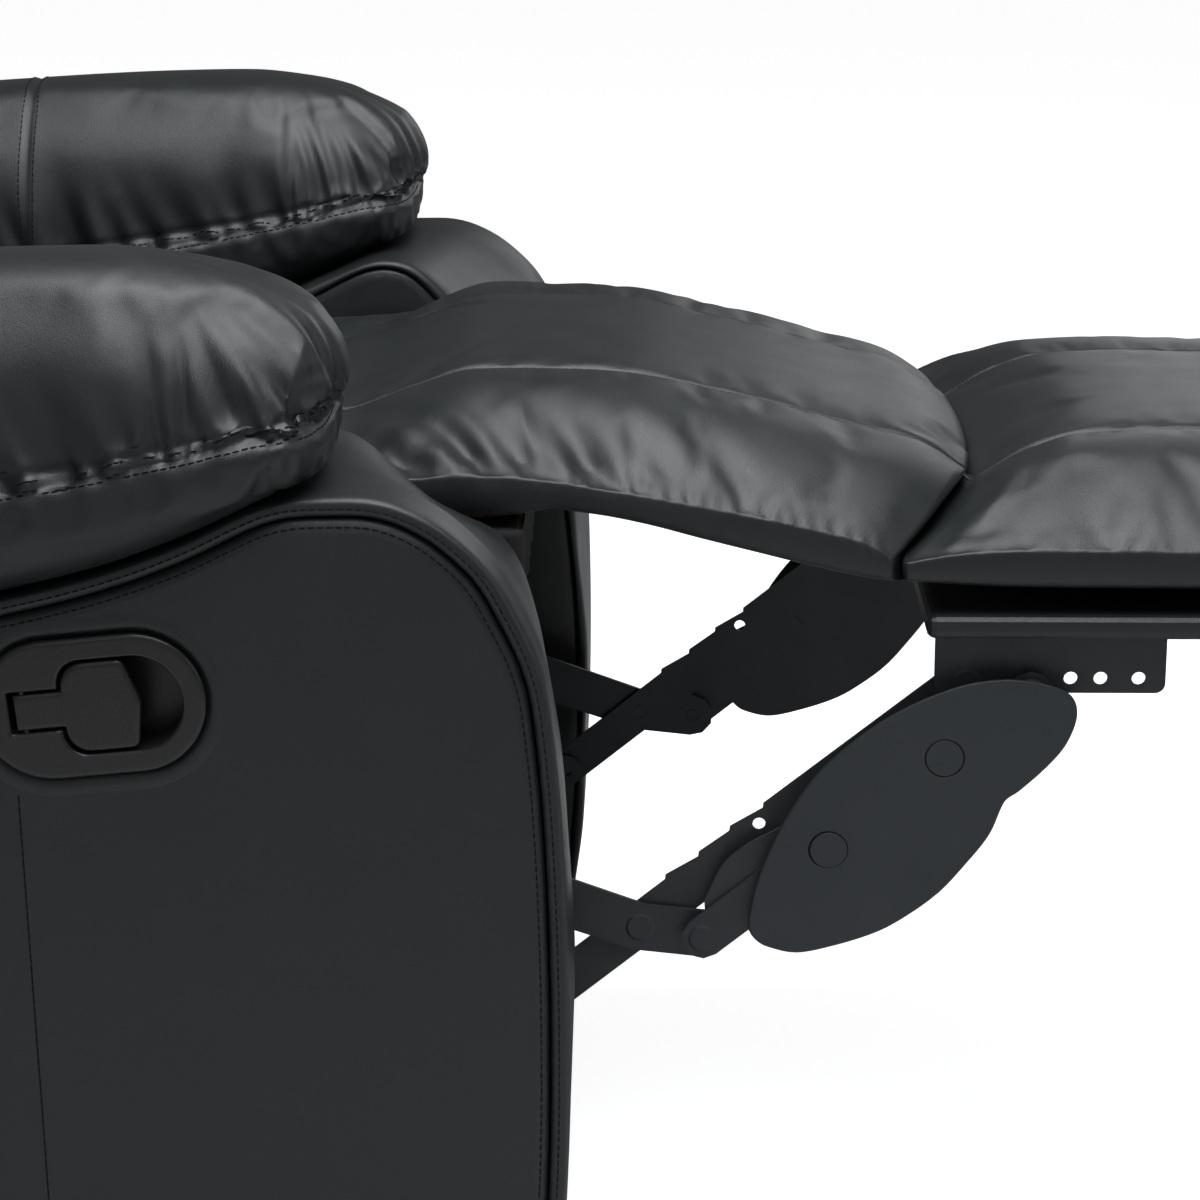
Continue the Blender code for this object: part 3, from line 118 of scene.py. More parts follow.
INNER_CONTOUR = (
    (-0.0125, 0.03), (-0.003, 0.13), (-0.001, 0.24), (-0.0085, 0.338), (-0.0165, 0.3994),
    (-0.0231, 0.4278), (-0.033, 0.455), (-0.0458, 0.472), (-0.0637, 0.481), (-0.083, 0.491),
    (-0.1, 0.506), (-0.115, 0.522), (-0.132, 0.5315), (-0.158, 0.5308), (-0.206, 0.5085), (-0.248, 0.4930),
    (-0.3, 0.4795), (-0.4, 0.4585), (-0.5, 0.4506),
)
# A long seam down each side panel, as heights and places
PANEL_SEAM_HEIGHTS = (0.372, 0.050)
PANEL_SEAM_PLACES = (-0.2936, -0.2860)
THREAD_PITCH = 0.0060
# Profiles as (distance in from the contour, distance in from the arm's outer or inner face)
SIDE_PROFILE = (
    (0.030, 0.0195), (0.0125, 0.0195), (0.0113, 0.0175), (0.0110, 0.0070), (0.0112, 0.0040), (0.0130, 0.0023),
    (0.0145, 0.0014), (0.0160, 0.0008), (0.0175, 0.0003), (0.0185, 0.0),
)
INNER_PROFILE = (
    (0.030, 0.0115), (0.0075, 0.0115), (0.0063, 0.0100), (0.0060, 0.0050), (0.0064, 0.0030), (0.0085, 0.0014),
    (0.014, 0.0007), (0.030, 0.0),
)
ROLL_PROFILE = (
    (0.0104, 0.0075), (0.0102, 0.0042), (0.0092, 0.0024), (0.0072, 0.0012), (0.0055, 0.0010), (0.0045, 0.0013),
    (0.0030, 0.0012), (0.0012, 0.0026), (0.0003, 0.0055), (0.0, 0.0095), (0.0, 0.016), (0.0003, 0.024),
    (0.0, 0.031), (0.0, 0.037),
)
BOXING_SKIN = 0.006
ARM_SEAM = 0.0155

# Seat pads
PAD_HALF = 0.235
PAD_SEAM_share = 0.481
PAD_CROWN = 0.0035
PAD_FALL_POWER = 2.2
PAD_GAP = 0.0006
TOE_ROUND_share = 0.90
TOE_NARROW_share = 0.09
CUSHION_LENGTH = 0.510
CUT_PLACE = -0.020
CUT_HEIGHT = 0.500
CUT_SLANT = 0.36
CHAISE_EDGE = 0.1886
CHAISE_TIP = 0.2490
LOBE_POWER = 3
PAD_LOW = 0.430
PAD_RISE = 0.1072
FOOT_PAD_TOE = 0.572
BOARD_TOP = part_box("footrest_board")[1].z
# Folds over the pads' welts: from, to, pitch, depth, width, length, lean, and how far in they begin
CHAISE_FOLDS = (
    (-0.15, 0.045, 0.036, 0.0115, 0.0085, 0.150, -0.60, 0.016), (0.05, 0.16, 0.050, 0.0060, 0.0095, 0.110, -0.50, 0.018),
    (-0.16, 0.21, 0.0095, 0.0026, 0.0026, 0.022, -0.30, 0.004),
)
FOOT_FOLDS = (
    (0.20, 0.56, 0.075, 0.0035, 0.0120, 0.090, -0.25, 0.018), (0.19, 0.57, 0.0120, 0.0016, 0.0026, 0.016, -0.20, 0.004),
)
# Rows of shares: place along the pad, then heights of the underside, the edge welt and the top seam
CUSHION_ROW_shares = (
    (1.0, 0.373, 0.387, 0.401), (0.951, 0.373, 0.429, 0.504), (0.882, 0.373, 0.466, 0.597),
    (0.745, 0.373, 0.485, 0.634), (0.549, 0.373, 0.513, 0.653), (0.353, 0.373, 0.56, 0.69),
    (0.239, 0.373, 0.602, 0.752), (0.147, 0.373, 0.627, 0.905), (0.069, 0.392, 0.642, 0.993),
)
CHAISE_ROW_shares = (
    (0.0, 0.448, 0.623, 1.0), (0.163, 0.406, 0.575, 0.992), (0.28, 0.361, 0.535, 0.97),
    (0.441, 0.28, 0.475, 0.897), (0.603, 0.201, 0.415, 0.808), (0.767, 0.121, 0.344, 0.69),
    (0.911, 0.061, 0.269, 0.578), (1.0, 0.042, 0.168, 0.392),
)
FOOT_PAD_ROW_shares = (
    (0.0, 0.047, 0.159, 0.354), (0.113, 0.019, 0.219, 0.55), (0.199, 0.009, 0.229, 0.625),
    (0.369, 0.005, 0.227, 0.653), (0.577, 0.005, 0.215, 0.644), (0.76, 0.009, 0.201, 0.597),
    (0.89, 0.019, 0.192, 0.504), (0.969, 0.037, 0.187, 0.373), (1.0, 0.075, 0.168, 0.205),
)

# Handle: an oval cup let into the right arm, with a paddle
CUP_PLACE = 0.2519
CUP_HEIGHT = 0.4222
CUP_TILT = math.radians(5.5)
CUP_LENGTH = 0.122
CUP_WIDTH = 0.077
CUP_LIP = 0.007
CUP_DEPTH = 0.030
CUP_FLOOR = 0.003
CUP_FACE = 0.0033
POCKET_LENGTH = 0.0657
POCKET_WIDTH = 0.0525
POCKET_CORNER = 0.013
NECK_LENGTH = 0.0275
NECK_WIDTH = 0.023
PADDLE_THICKNESS = 0.005
PADDLE_FRONT = 0.0028
PADDLE_PLAY = 0.0016
FINGER_GAP = 0.0224
PADDLE_CORNER = 0.0045
PADDLE_POINT = 0.0064
# The leather round the cup, as (distance out from its flange, depth), through to the panel's back
HOLE_PROFILE = (
    (0.0105, 0.0), (0.0085, -0.0004), (0.0062, -0.0008), (0.0040, -0.0006), (0.0022, 0.0002), (0.0008, 0.0016),
    (-0.001, 0.0028), (-0.004, 0.0031), (-0.007, 0.0034), (-0.007, 0.0195),
)
# Profiles as (distance in from the outline, height over the arm's face)
FLANGE_PROFILE = (
    (0.0004, -0.0002), (0.0, 0.0004), (0.0, 0.0016), (0.0004, 0.0024), (0.0011, 0.0030), (0.0020, 0.0033),
    (0.0036, 0.0033),
)
POCKET_PROFILE = ((-0.0016, 0.0033), (-0.0009, 0.0031), (-0.0003, 0.0026), (0.0, 0.0016), (0.0, -0.027))
PADDLE_PROFILE = (
    (0.0, -0.0022), (0.0, 0.0014), (0.0003, 0.0021), (0.0008, 0.0026), (0.0016, 0.0029), (0.0034, 0.0029),
)

# Guard plates: the outline along the cover link from its lower joint, and square to it
COVER_LINK_JOINT = (0.0778, 0.2080)
COVER_REST_JOINT = (0.2710, 0.3650)
GUARD_LENGTH = 0.249
GUARD_WIDTH = 0.1075
GUARD_STEP = 0.0022
GUARD_STUD_PROUD = 0.0008
GUARD_OUTLINE_shares = (
    (0.106, -0.109), (0.105, -0.173), (0.117, -0.246), (0.163, -0.374), (0.248, -0.474), (0.341, -0.552),
    (0.42, -0.582), (0.521, -0.586), (0.619, -0.545), (0.707, -0.49), (0.776, -0.4), (0.8, -0.384),
    (0.834, -0.389), (0.92, -0.372), (0.99, -0.333), (1.051, -0.242), (1.071, -0.126), (1.039, 0.018),
    (0.979, 0.163), (0.906, 0.271), (0.828, 0.34), (0.743, 0.388), (0.651, 0.412), (0.56, 0.41),
    (0.473, 0.386), (0.375, 0.314), (0.281, 0.213), (0.196, 0.095), (0.12, -0.053),
)
GUARD_POSTS_shares = ((0.743, 0.022), (0.384, 0.003))
# Profiles as (distance in from the outline, or radius, and depth under the face)
GUARD_PROFILE = ((0.0006, 0.0025), (0.0, 0.0020), (0.0, 0.0006), (0.0006, 0.0), (0.0018, 0.0))
STUD_HOLE_PROFILE = ((0.0125, 0.0), (0.0121, 0.0), (0.0118, 0.0003), (0.0118, 0.0025))
STUD_PROFILE = ((0.0104, 0.0), (0.0109, 0.0), (0.0112, 0.0003), (0.0112, 0.0025), (0.0130, 0.0026), (0.0130, 0.0083))
LINK_FACE = 0.2185
WEB_PROFILE = ((0.0005, 0.0018), (0.0, 0.0014), (0.0, 0.0004), (0.0005, 0.0))
WEB_POINTS = (
    (0.0125, 0.0060), (0.0145, 0.0160), (0.0242, 0.0220), (0.0390, 0.0288), (0.0557, 0.0296), (0.0710, 0.0272),
    (0.0920, 0.0220), (0.1020, 0.0120), (0.1000, -0.0020), (0.0700, -0.0060), (0.0320, -0.0060),
)
STUD_SHIFTS = ((0.0, 0.0), (0.0004, -0.0003))

# Back: leaning on its hinge; (v, w) are forward of and up along its frame
HINGE_Y = ARM_FRONT + 0.575
HINGE_Z = 0.330
BACK_LEAN = math.radians(17.0)
BACK_FRONT = 0.0203
BACK_HALF = 0.235
BACK_PILLOWS = (
    ("lumbar_pillow", 0.130, 0.325, 0.112), ("middle_pillow", 0.3253, 0.510, 0.105),
    ("head_pillow", 0.5103, 0.700, 0.120),
)
PILLOW_BULGE_shares = (
    (0.0, 0.55), (0.02, 0.74), (0.08, 0.90), (0.22, 0.98), (0.5, 1.0), (0.78, 0.98), (0.92, 0.90),
    (0.98, 0.74), (1.0, 0.55),
)
WING_BULGE_shares = ((0.0, 0.80), (0.12, 0.92), (0.45, 1.0), (0.8, 0.86), (0.95, 0.6), (1.0, 0.35))
WING_WIDTH = 0.092
WING_LOW = 0.405
WING_TOP = 0.672
WING_DEPTH = 0.150
WING_REAR = 0.020
BLOCK_RISE_POWER = 0.7
BLOCK_REACH_POWER = 0.55
REAR_PANEL_HALF = 0.240
REAR_PANEL_LOW = 0.040
REAR_PANEL_TOP = 0.675
SHOULDER = 0.400
SHOULDER_HALF = 0.320
SHOULDER_CORNER = 0.060
BOXING_INSET = 0.0022
BOXING_SHEET = 0.0015
BOXING_DEPTH = (-0.034, 0.0215)
LINING_FRONT = 0.0200
LINING_REAR = -0.0195
LINING_CORNER = 0.002
LINING_LIFT = 0.0003
LINING_SHEET = 0.0009
LINING_LOW = 0.060
LINING_TOP = 0.668
BOARD_PROFILE = (
    (0.004, 0.0), (0.0010, 0.0008), (0.0, 0.0030), (0.0, 0.0120), (0.0012, 0.0142), (0.0040, 0.0154),
    (0.0100, 0.0158), (0.0120, 0.0150), (0.0136, 0.0160), (0.030, 0.0166),
)

# Seat border and front curtain
RAIL_BOX_LOW, RAIL_BOX_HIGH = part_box("seat_front_rail")
BORDER_TOP = RAIL_BOX_HIGH.z + 0.0022
BORDER_BOTTOM = 0.420
BORDER_CORNER = 0.002
STRIP_STEP = 0.003
CURTAIN_HALF = 0.188
CURTAIN_PLACE = -0.051
CURTAIN_BOTTOM = 0.300
SKIRT_LOW, SKIRT_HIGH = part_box("rear_skirt")
DECK_INSET = 0.003
DECK_TOP = 0.0022
DECK_SHEET = 0.0010
DECK_WAVE = 0.0006
DECK_RIPPLES = (71, 47)
DECK_COUNTS = (90, 80)

# Stitching
STITCH_PITCH = 0.0048
STITCH_LENGTH = 0.0036
THREAD_RADIUS = 0.00045


# Materials
def shader_nodes(name, colour, roughness, metallic=0.0):
    made = bpy.data.materials.new(name)
    made.use_nodes = True
    tree = made.node_tree
    shader = tree.nodes["Principled BSDF"]
    shader.inputs["Base Color"].default_value = (*colour, 1.0)
    shader.inputs["Roughness"].default_value = roughness
    shader.inputs["Metallic"].default_value = metallic
    return made, tree, shader


def surface_coordinates(tree):
    return tree.nodes.new("ShaderNodeTexCoord").outputs["Object"]


def noise(tree, coordinates, scale, detail=2.0, roughness=0.5):
    made = tree.nodes.new("ShaderNodeTexNoise")
    made.inputs["Scale"].default_value = scale
    made.inputs["Detail"].default_value = detail
    made.inputs["Roughness"].default_value = roughness
    tree.links.new(coordinates, made.inputs["Vector"])
    return made.outputs["Fac"]


def ranged(tree, value, low, high, from_low=0.0, from_high=1.0):
    made = tree.nodes.new("ShaderNodeMapRange")
    made.inputs["From Min"].default_value = from_low
    made.inputs["From Max"].default_value = from_high
    made.inputs["To Min"].default_value = low
    made.inputs["To Max"].default_value = high
    tree.links.new(value, made.inputs["Value"])
    return made.outputs["Result"]


def bump(tree, height, distance, strength=1.0, below=None):
    made = tree.nodes.new("ShaderNodeBump")
    made.inputs["Distance"].default_value = distance
    made.inputs["Strength"].default_value = strength
    tree.links.new(height, made.inputs["Height"])
    if below is not None:
        tree.links.new(below, made.inputs["Normal"])
    return made.outputs["Normal"]


def mixed_colour(tree, factor, first, second):
    made = tree.nodes.new("ShaderNodeMix")
    made.data_type = "RGBA"
    tree.links.new(factor, made.inputs["Factor"])
    made.inputs[6].default_value = (*first, 1.0)
    made.inputs[7].default_value = (*second, 1.0)
    return made.outputs[2]


def cells(tree, coordinates, scale, feature="DISTANCE_TO_EDGE"):
    made = tree.nodes.new("ShaderNodeTexVoronoi")
    made.feature = feature
    made.inputs["Scale"].default_value = scale
    tree.links.new(coordinates, made.inputs["Vector"])
    return made.outputs["Distance"]


def make_leather(name, colour=(0.0155, 0.0182, 0.0192), roughness=0.39, grain=1.0):
    """Black coated leather: fine pebbles, slow undulation and a slightly uneven sheen."""
    made, tree, shader = shader_nodes(name, colour, roughness)
    place = surface_coordinates(tree)
    pebbles = ranged(tree, cells(tree, place, 1050.0), 0.0, 1.0, 0.0, 0.35)
    slow = noise(tree, place, 9.0, 2.0)
    creases = noise(tree, place, 160.0, 4.0, 0.65)
    under = bump(tree, slow, 0.0035, 0.30)
    middle = bump(tree, creases, 0.0004, 0.22, under)
    top = bump(tree, pebbles, 0.00012, 0.55 * grain, middle)
    tree.links.new(top, shader.inputs["Normal"])
    mottled = noise(tree, place, 26.0, 3.0)
    tree.links.new(ranged(tree, mottled, roughness - 0.035, roughness + 0.05, 0.3, 0.7), shader.inputs["Roughness"])
    darker = tuple(channel * 0.86 for channel in colour)
    tree.links.new(mixed_colour(tree, ranged(tree, mottled, 0.0, 1.0, 0.3, 0.7), darker, colour), shader.inputs["Base Color"])
    return made


def make_steel(name, colour=(0.0275, 0.0325, 0.0365), roughness=0.48):
    """Matte powder coat: a fine orange-peel skin."""
    made, tree, shader = shader_nodes(name, colour, roughness)
    place = surface_coordinates(tree)
    peel = noise(tree, place, 900.0, 2.0)
    dust = noise(tree, place, 18.0, 4.0, 0.6)
    tree.links.new(bump(tree, peel, 0.00015, 0.35), shader.inputs["Normal"])
    tree.links.new(ranged(tree, dust, roughness - 0.05, roughness + 0.08, 0.3, 0.7), shader.inputs["Roughness"])
    return made


def make_sparkled_plastic(name):
    """Black painted plastic with a fine speckle."""
    made, tree, shader = shader_nodes(name, (0.015, 0.015, 0.0155), 0.30)
    place = surface_coordinates(tree)
    specks = cells(tree, place, 1500.0, "F1")
    spark = ranged(tree, specks, 1.0, 0.0, 0.08, 0.22)
    tree.links.new(mixed_colour(tree, spark, (0.015, 0.015, 0.0155), (0.10, 0.10, 0.105)), shader.inputs["Base Color"])
    tree.links.new(bump(tree, noise(tree, place, 1300.0), 0.0001, 0.5), shader.inputs["Normal"])
    return made


def make_wood(name, pale, dark, roughness=0.6):
    made, tree, shader = shader_nodes(name, pale, roughness)
    place = surface_coordinates(tree)
    stretch = tree.nodes.new("ShaderNodeMapping")
    stretch.inputs["Scale"].default_value = (6.0, 1.0, 6.0)
    tree.links.new(place, stretch.inputs["Vector"])
    rings = noise(tree, stretch.outputs["Vector"], 9.0, 5.0, 0.6)
    streaks = ranged(tree, rings, 0.0, 1.0, 0.35, 0.65)
    tree.links.new(mixed_colour(tree, streaks, dark, pale), shader.inputs["Base Color"])
    tree.links.new(bump(tree, rings, 0.0006, 0.4), shader.inputs["Normal"])
    return made


def make_cloth(name):
    """Black woven lining: fine crossed threads."""
    made, tree, shader = shader_nodes(name, (0.010, 0.010, 0.011), 0.85)
    place = surface_coordinates(tree)
    heights = []
    for direction in ("X", "Z"):
        threads = tree.nodes.new("ShaderNodeTexWave")
        threads.bands_direction = direction
        threads.inputs["Scale"].default_value = 330.0
        threads.inputs["Distortion"].default_value = 0.4
        tree.links.new(place, threads.inputs["Vector"])
        heights.append(threads.outputs["Fac"])
    weave = tree.nodes.new("ShaderNodeMath")
    weave.operation = "MAXIMUM"
    tree.links.new(heights[0], weave.inputs[0])
    tree.links.new(heights[1], weave.inputs[1])
    tree.links.new(bump(tree, weave.outputs["Value"], 0.0002, 0.7), shader.inputs["Normal"])
    fuzz = noise(tree, place, 40.0, 3.0)
    tree.links.new(
        mixed_colour(tree, ranged(tree, fuzz, 0.0, 1.0, 0.3, 0.7), (0.008, 0.008, 0.009), (0.013, 0.013, 0.014)),
        shader.inputs["Base Color"],
    )
    return made


def make_thread(name):
    made, tree, shader = shader_nodes(name, (0.004, 0.0045, 0.005), 0.8)
    shader.inputs["Specular IOR Level"].default_value = 0.25
    place = surface_coordinates(tree)
    tree.links.new(bump(tree, noise(tree, place, 2600.0), 0.0002, 0.8), shader.inputs["Normal"])
    return made


LEATHER = make_leather("leather")
THREAD = make_thread("thread")
CLOTH = make_cloth("lining_cloth")
STEEL = make_steel("powder_coat")
PLASTIC = make_sparkled_plastic("speckled_plastic")
FINISHES = {
    "black_leather": LEATHER,
    "black_steel": STEEL,
    "black_plastic": PLASTIC,
    "plywood": make_wood("plywood", (0.55, 0.42, 0.28), (0.42, 0.30, 0.18)),
    "pine": make_wood("pine", (0.64, 0.50, 0.33), (0.50, 0.36, 0.20)),
    "spring_steel": make_steel("spring_wire", (0.30, 0.30, 0.31), 0.35),
    "foot_plastic": make_steel("foot_plastic", (0.016, 0.016, 0.017), 0.50),
}
for subpart in frame["record"]["subparts"]:
    node = frame["nodes"][subpart["node"]]
    node.data.materials.clear()
    node.data.materials.append(FINISHES[subpart["material_slot"]])


# Meshes
def to_world(u, z, x):
    return np.stack([x, ARM_FRONT - u, z], axis=-1)


def through(table, places):
    """Smooth curves through a table whose first column is the place, without overshoot."""
    table = np.array(table, float)
    x, y = table[:, 0], table[:, 1:]
    steps = np.diff(x)[:, None]
    slopes = np.diff(y, axis=0) / steps
    tangents = np.zeros_like(y)
    tangents[0], tangents[-1] = slopes[0], slopes[-1]
    before, after = slopes[:-1], slopes[1:]
    same = before * after > 0
    mean = np.where(same, 2 * before * after / np.where(same, before + after, 1.0), 0.0)
    tangents[1:-1] = mean
    index = np.clip(np.searchsorted(x, places, side="right") - 1, 0, len(x) - 2)
    step = steps[index]
    t = ((np.asarray(places) - x[index]) / step[:, 0])[:, None]
    rise = (2 * t ** 3 - 3 * t ** 2 + 1) * y[index] + (3 * t ** 2 - 2 * t ** 3) * y[index + 1]
    return rise + step * ((t ** 3 - 2 * t ** 2 + t) * tangents[index] + (t ** 3 - t ** 2) * tangents[index + 1])


def resampled(points, shares):
    """Points at shares of a line's length."""
    lengths = np.concatenate([[0], np.cumsum(np.linalg.norm(np.diff(points, axis=0), axis=1))])
    wanted = np.asarray(shares) * lengths[-1]
    return np.stack([np.interp(wanted, lengths, points[:, axis]) for axis in range(points.shape[1])], axis=1)


def coordinates(piece):
    found = np.empty(len(piece.data.vertices) * 3)
    piece.data.vertices.foreach_get("co", found)
    return found.reshape(-1, 3)


def set_coordinates(piece, points):
    piece.data.vertices.foreach_set("co", points.astype(np.float32).ravel())
    piece.data.update()


def normals(piece):
    found = np.empty(len(piece.data.vertices) * 3)
    piece.data.vertex_normals.foreach_get("vector", found)
    return found.reshape(-1, 3)


def new_piece(name, points, faces, finish=LEATHER):
    data = bpy.data.meshes.new(name)
    data.from_pydata([tuple(point) for point in points], [], faces)
    shape = bmesh.new()
    shape.from_mesh(data)
    if shape.calc_volume(signed=True) < 0:
        bmesh.ops.reverse_faces(shape, faces=shape.faces)
    for face in shape.faces:
        face.smooth = True
    shape.to_mesh(data)
    shape.free()
    piece = bpy.data.objects.new(name, data)
    bpy.context.scene.collection.objects.link(piece)
    data.materials.append(finish)
    return piece


def ring_piece(name, rings, finish=LEATHER, cap_steps=4):
    """A closed skin over rings of points, with its two ends drawn shut by smaller rings."""
    rings = np.asarray(rings)
    count = rings.shape[1]
    middle_first, middle_last = rings[0].mean(axis=0), rings[-1].mean(axis=0)
    shrink = [step / cap_steps for step in range(1, cap_steps)]
    first = [middle_first + (rings[0] - middle_first) * share for share in shrink]
    last = [middle_last + (rings[-1] - middle_last) * share for share in reversed(shrink)]
    rows = np.concatenate([first, rings, last])
    points = np.concatenate([rows.reshape(-1, 3), [middle_first, middle_last]])
    faces = []
    for row in range(len(rows) - 1):
        start, following = row * count, (row + 1) * count
        for index in range(count):
            after = (index + 1) % count
            faces.append((start + index, start + after, following + after, following + index))
    hub_first, hub_last = len(points) - 2, len(points) - 1
    end = (len(rows) - 1) * count
    for index in range(count):
        after = (index + 1) % count
        faces.append((after, index, hub_first))
        faces.append((end + index, end + after, hub_last))
    return new_piece(name, points, faces, finish)


def evaluated_data(piece):
    graph = bpy.context.evaluated_depsgraph_get()
    return bpy.data.meshes.new_from_object(piece.evaluated_get(graph))


def refine(piece, levels=1):
    """Divide the skin finer and keep the result."""
    finer = piece.modifiers.new("finer", "SUBSURF")
    finer.levels = levels
    finer.render_levels = levels
    data = evaluated_data(piece)
    piece.modifiers.clear()
    old = piece.data
    piece.data = data
    bpy.data.meshes.remove(old)


def stuff(piece, held, pressure=4.0, slack=0.04, cap=0.006, frames=16):
    """Swell the skin by cloth simulation, held where the weights say, and keep what it gives."""
    before = coordinates(piece)
    group = piece.vertex_groups.new(name="held")
    for index, weight in enumerate(held):
        if weight > 0:
            group.add([index], float(weight), "REPLACE")
    cloth = piece.modifiers.new("stuffing", "CLOTH")
    settings = cloth.settings
    settings.quality = 5
    settings.mass = 0.4
    settings.tension_stiffness = 25.0
    settings.compression_stiffness = 25.0
    settings.shear_stiffness = 12.0
    settings.bending_stiffness = 0.4
    settings.use_pressure = True
    settings.uniform_pressure_force = pressure
    settings.vertex_group_mass = "held"
    settings.pin_stiffness = 1.0
    settings.shrink_min = -slack
    settings.effector_weights.gravity = 0.0
    cloth.collision_settings.use_collision = False
    cloth.point_cache.frame_start = 1
    cloth.point_cache.frame_end = frames
    scene = bpy.context.scene
    for number in range(1, frames + 1):
        scene.frame_set(number)
    data = evaluated_data(piece)
    after = np.empty(len(data.vertices) * 3)
    data.vertices.foreach_get("co", after)
    bpy.data.meshes.remove(data)
    piece.modifiers.remove(cloth)
    piece.vertex_groups.remove(group)
    scene.frame_set(1)
    shift = after.reshape(-1, 3) - before
    size = np.linalg.norm(shift, axis=1, keepdims=True) + 1e-9
    set_coordinates(piece, before + shift * cap * np.tanh(size / cap) / size)


# Folds and seams
def spread(rng, low, high, pitch, jitter=0.35):
    """Places between low and high, about one pitch apart."""
    places = []
    place = low + pitch * rng.uniform(0.2, 0.8)
    while place < high:
        places.append(place)
        place += pitch * rng.uniform(1 - jitter, 1 + jitter)
    return places


def fold_depths(rng, s, h, places, depth, width, length, lean=0.0, start=0.0025, least=0.25):
    """How deep folds press at (s along a seam, h away from it): narrow valleys that fade out."""
    total = np.zeros_like(s)
    for place in places:
        deep = depth * rng.uniform(0.45, 1.0)
        reach = length * rng.uniform(0.55, 1.0)
        wide = width * rng.uniform(0.7, 1.3)
        slope = lean * rng.uniform(0.4, 1.6) + rng.uniform(-0.12, 0.12)
        bend = rng.uniform(-1.0, 1.0) * 1.2
        near = np.clip(h / reach, 0, 1)
        line = place + slope * h + bend * h * h
        across = (s - line) / (wide * (1 + 1.6 * near))
        fade = (1 - near) ** 1.2 * np.clip(h / start, least, 1)
        total += deep * np.exp(-across * across) * fade * (h > 0)
    return total


def press(piece, depths):
    set_coordinates(piece, coordinates(piece) - normals(piece) * depths[:, None])


def groove(distance, depth=0.0016, width=0.0018):
    return depth * np.exp(-(distance / width) ** 2)


def surface_tree(piece):
    return BVHTree.FromObject(piece, bpy.context.evaluated_depsgraph_get())


def snapped(tree, points, lift=0.0):
    """Each point moved onto the surface, with the surface's normal there."""
    places, directions = [], []
    for point in points:
        place, direction, _, _ = tree.find_nearest(Vector(point))
        places.append(np.array(place) + np.array(direction) * lift)
        directions.append(np.array(direction))
    return np.array(places), np.array(directions)


def add_stitches(piece, paths, pitch=STITCH_PITCH, length=STITCH_LENGTH, radius=THREAD_RADIUS):
    """Rows of thread stitches lying on the piece along the given paths, joined into its mesh."""
    bpy.context.view_layer.update()
    tree = surface_tree(piece)
    shape = bmesh.new()
    shape.from_mesh(piece.data)
    piece.data.materials.append(THREAD)
    thread = len(piece.data.materials) - 1
    profile = ((-0.5, 0.35), (-0.32, 1.0), (0.32, 1.0), (0.5, 0.35))
    for path in paths:
        path = np.asarray(path, float)
        total = np.linalg.norm(np.diff(path, axis=0), axis=1).sum()
        count = max(int(total / pitch), 1)
        shares = (np.arange(count) + 0.5) / count
        half = 0.25 * length / total
        centres, ups = snapped(tree, resampled(path, shares), radius * 0.35)
        fronts = resampled(path, np.clip(shares + half, 0, 1)) - resampled(path, np.clip(shares - half, 0, 1))
        for centre, up, along in zip(centres, ups, fronts):
            along = Vector(along).normalized()
            up = Vector(up)
            side = along.cross(up).normalized()
            up = side.cross(along)
            rows = []
            for place, size in profile:
                middle = Vector(centre) + along * (place * length)
                rows.append([
                    shape.verts.new(middle + (side * math.cos(a) + up * math.sin(a)) * radius * size)
                    for a in (k * math.tau / 6 for k in range(6))
                ])
            for row, following in zip(rows, rows[1:]):
                for k in range(6):
                    face = shape.faces.new((row[k], row[(k + 1) % 6], following[(k + 1) % 6], following[k]))
                    face.smooth = True
                    face.material_index = thread
            for end in (rows[0][::-1], rows[-1]):
                shape.faces.new(end).material_index = thread
    shape.to_mesh(piece.data)
    shape.free()


# Arm pillows
def pillow_stations():
    """Stations along the pillow, closer together round the nose and at the tail."""
    turn = np.linspace(0, 1, 30)
    nose = PILLOW_NOSE * (1 - np.cos(turn * math.pi / 2))
    body = np.arange(nose[-1] + CELL, PILLOW_LENGTH * 0.93, CELL)
    tail_room = PILLOW_LENGTH - body[-1]
    tail = body[-1] + tail_room * np.sin(np.linspace(0, 1, 9)[1:] * math.pi / 2)
    return np.concatenate([nose, body, tail])


def pillow_section(under, top, half):
    """One upright section as (x, z), from one side seam over the top and back underneath."""
    seam = under + (top - under) * PILLOW_SEAM_share
    angles = np.linspace(0, math.pi, 160)
    cos, sin = np.cos(angles), np.sin(angles)
    upper_reach = np.sign(cos) * np.abs(cos) ** (2 / PILLOW_TOP_POWER)
    upper = np.stack([half * upper_reach, seam + (top - seam) * sin ** (2 / PILLOW_TOP_POWER)], axis=1)
    lower_reach = -np.sign(cos) * np.abs(cos) ** (2 / PILLOW_UNDER_POWER)
    lower = np.stack([half * lower_reach, seam - (seam - under) * sin ** (2 / PILLOW_UNDER_POWER)], axis=1)
    top_shares = 0.5 - 0.5 * np.cos(np.linspace(0, 1, 53) * math.pi)
    top_shares = 0.35 * top_shares + 0.65 * np.linspace(0, 1, 53)
    low_shares = np.linspace(0, 1, 41)
    return np.concatenate([resampled(upper, top_shares)[:-1], resampled(lower, low_shares)[:-1]]), seam


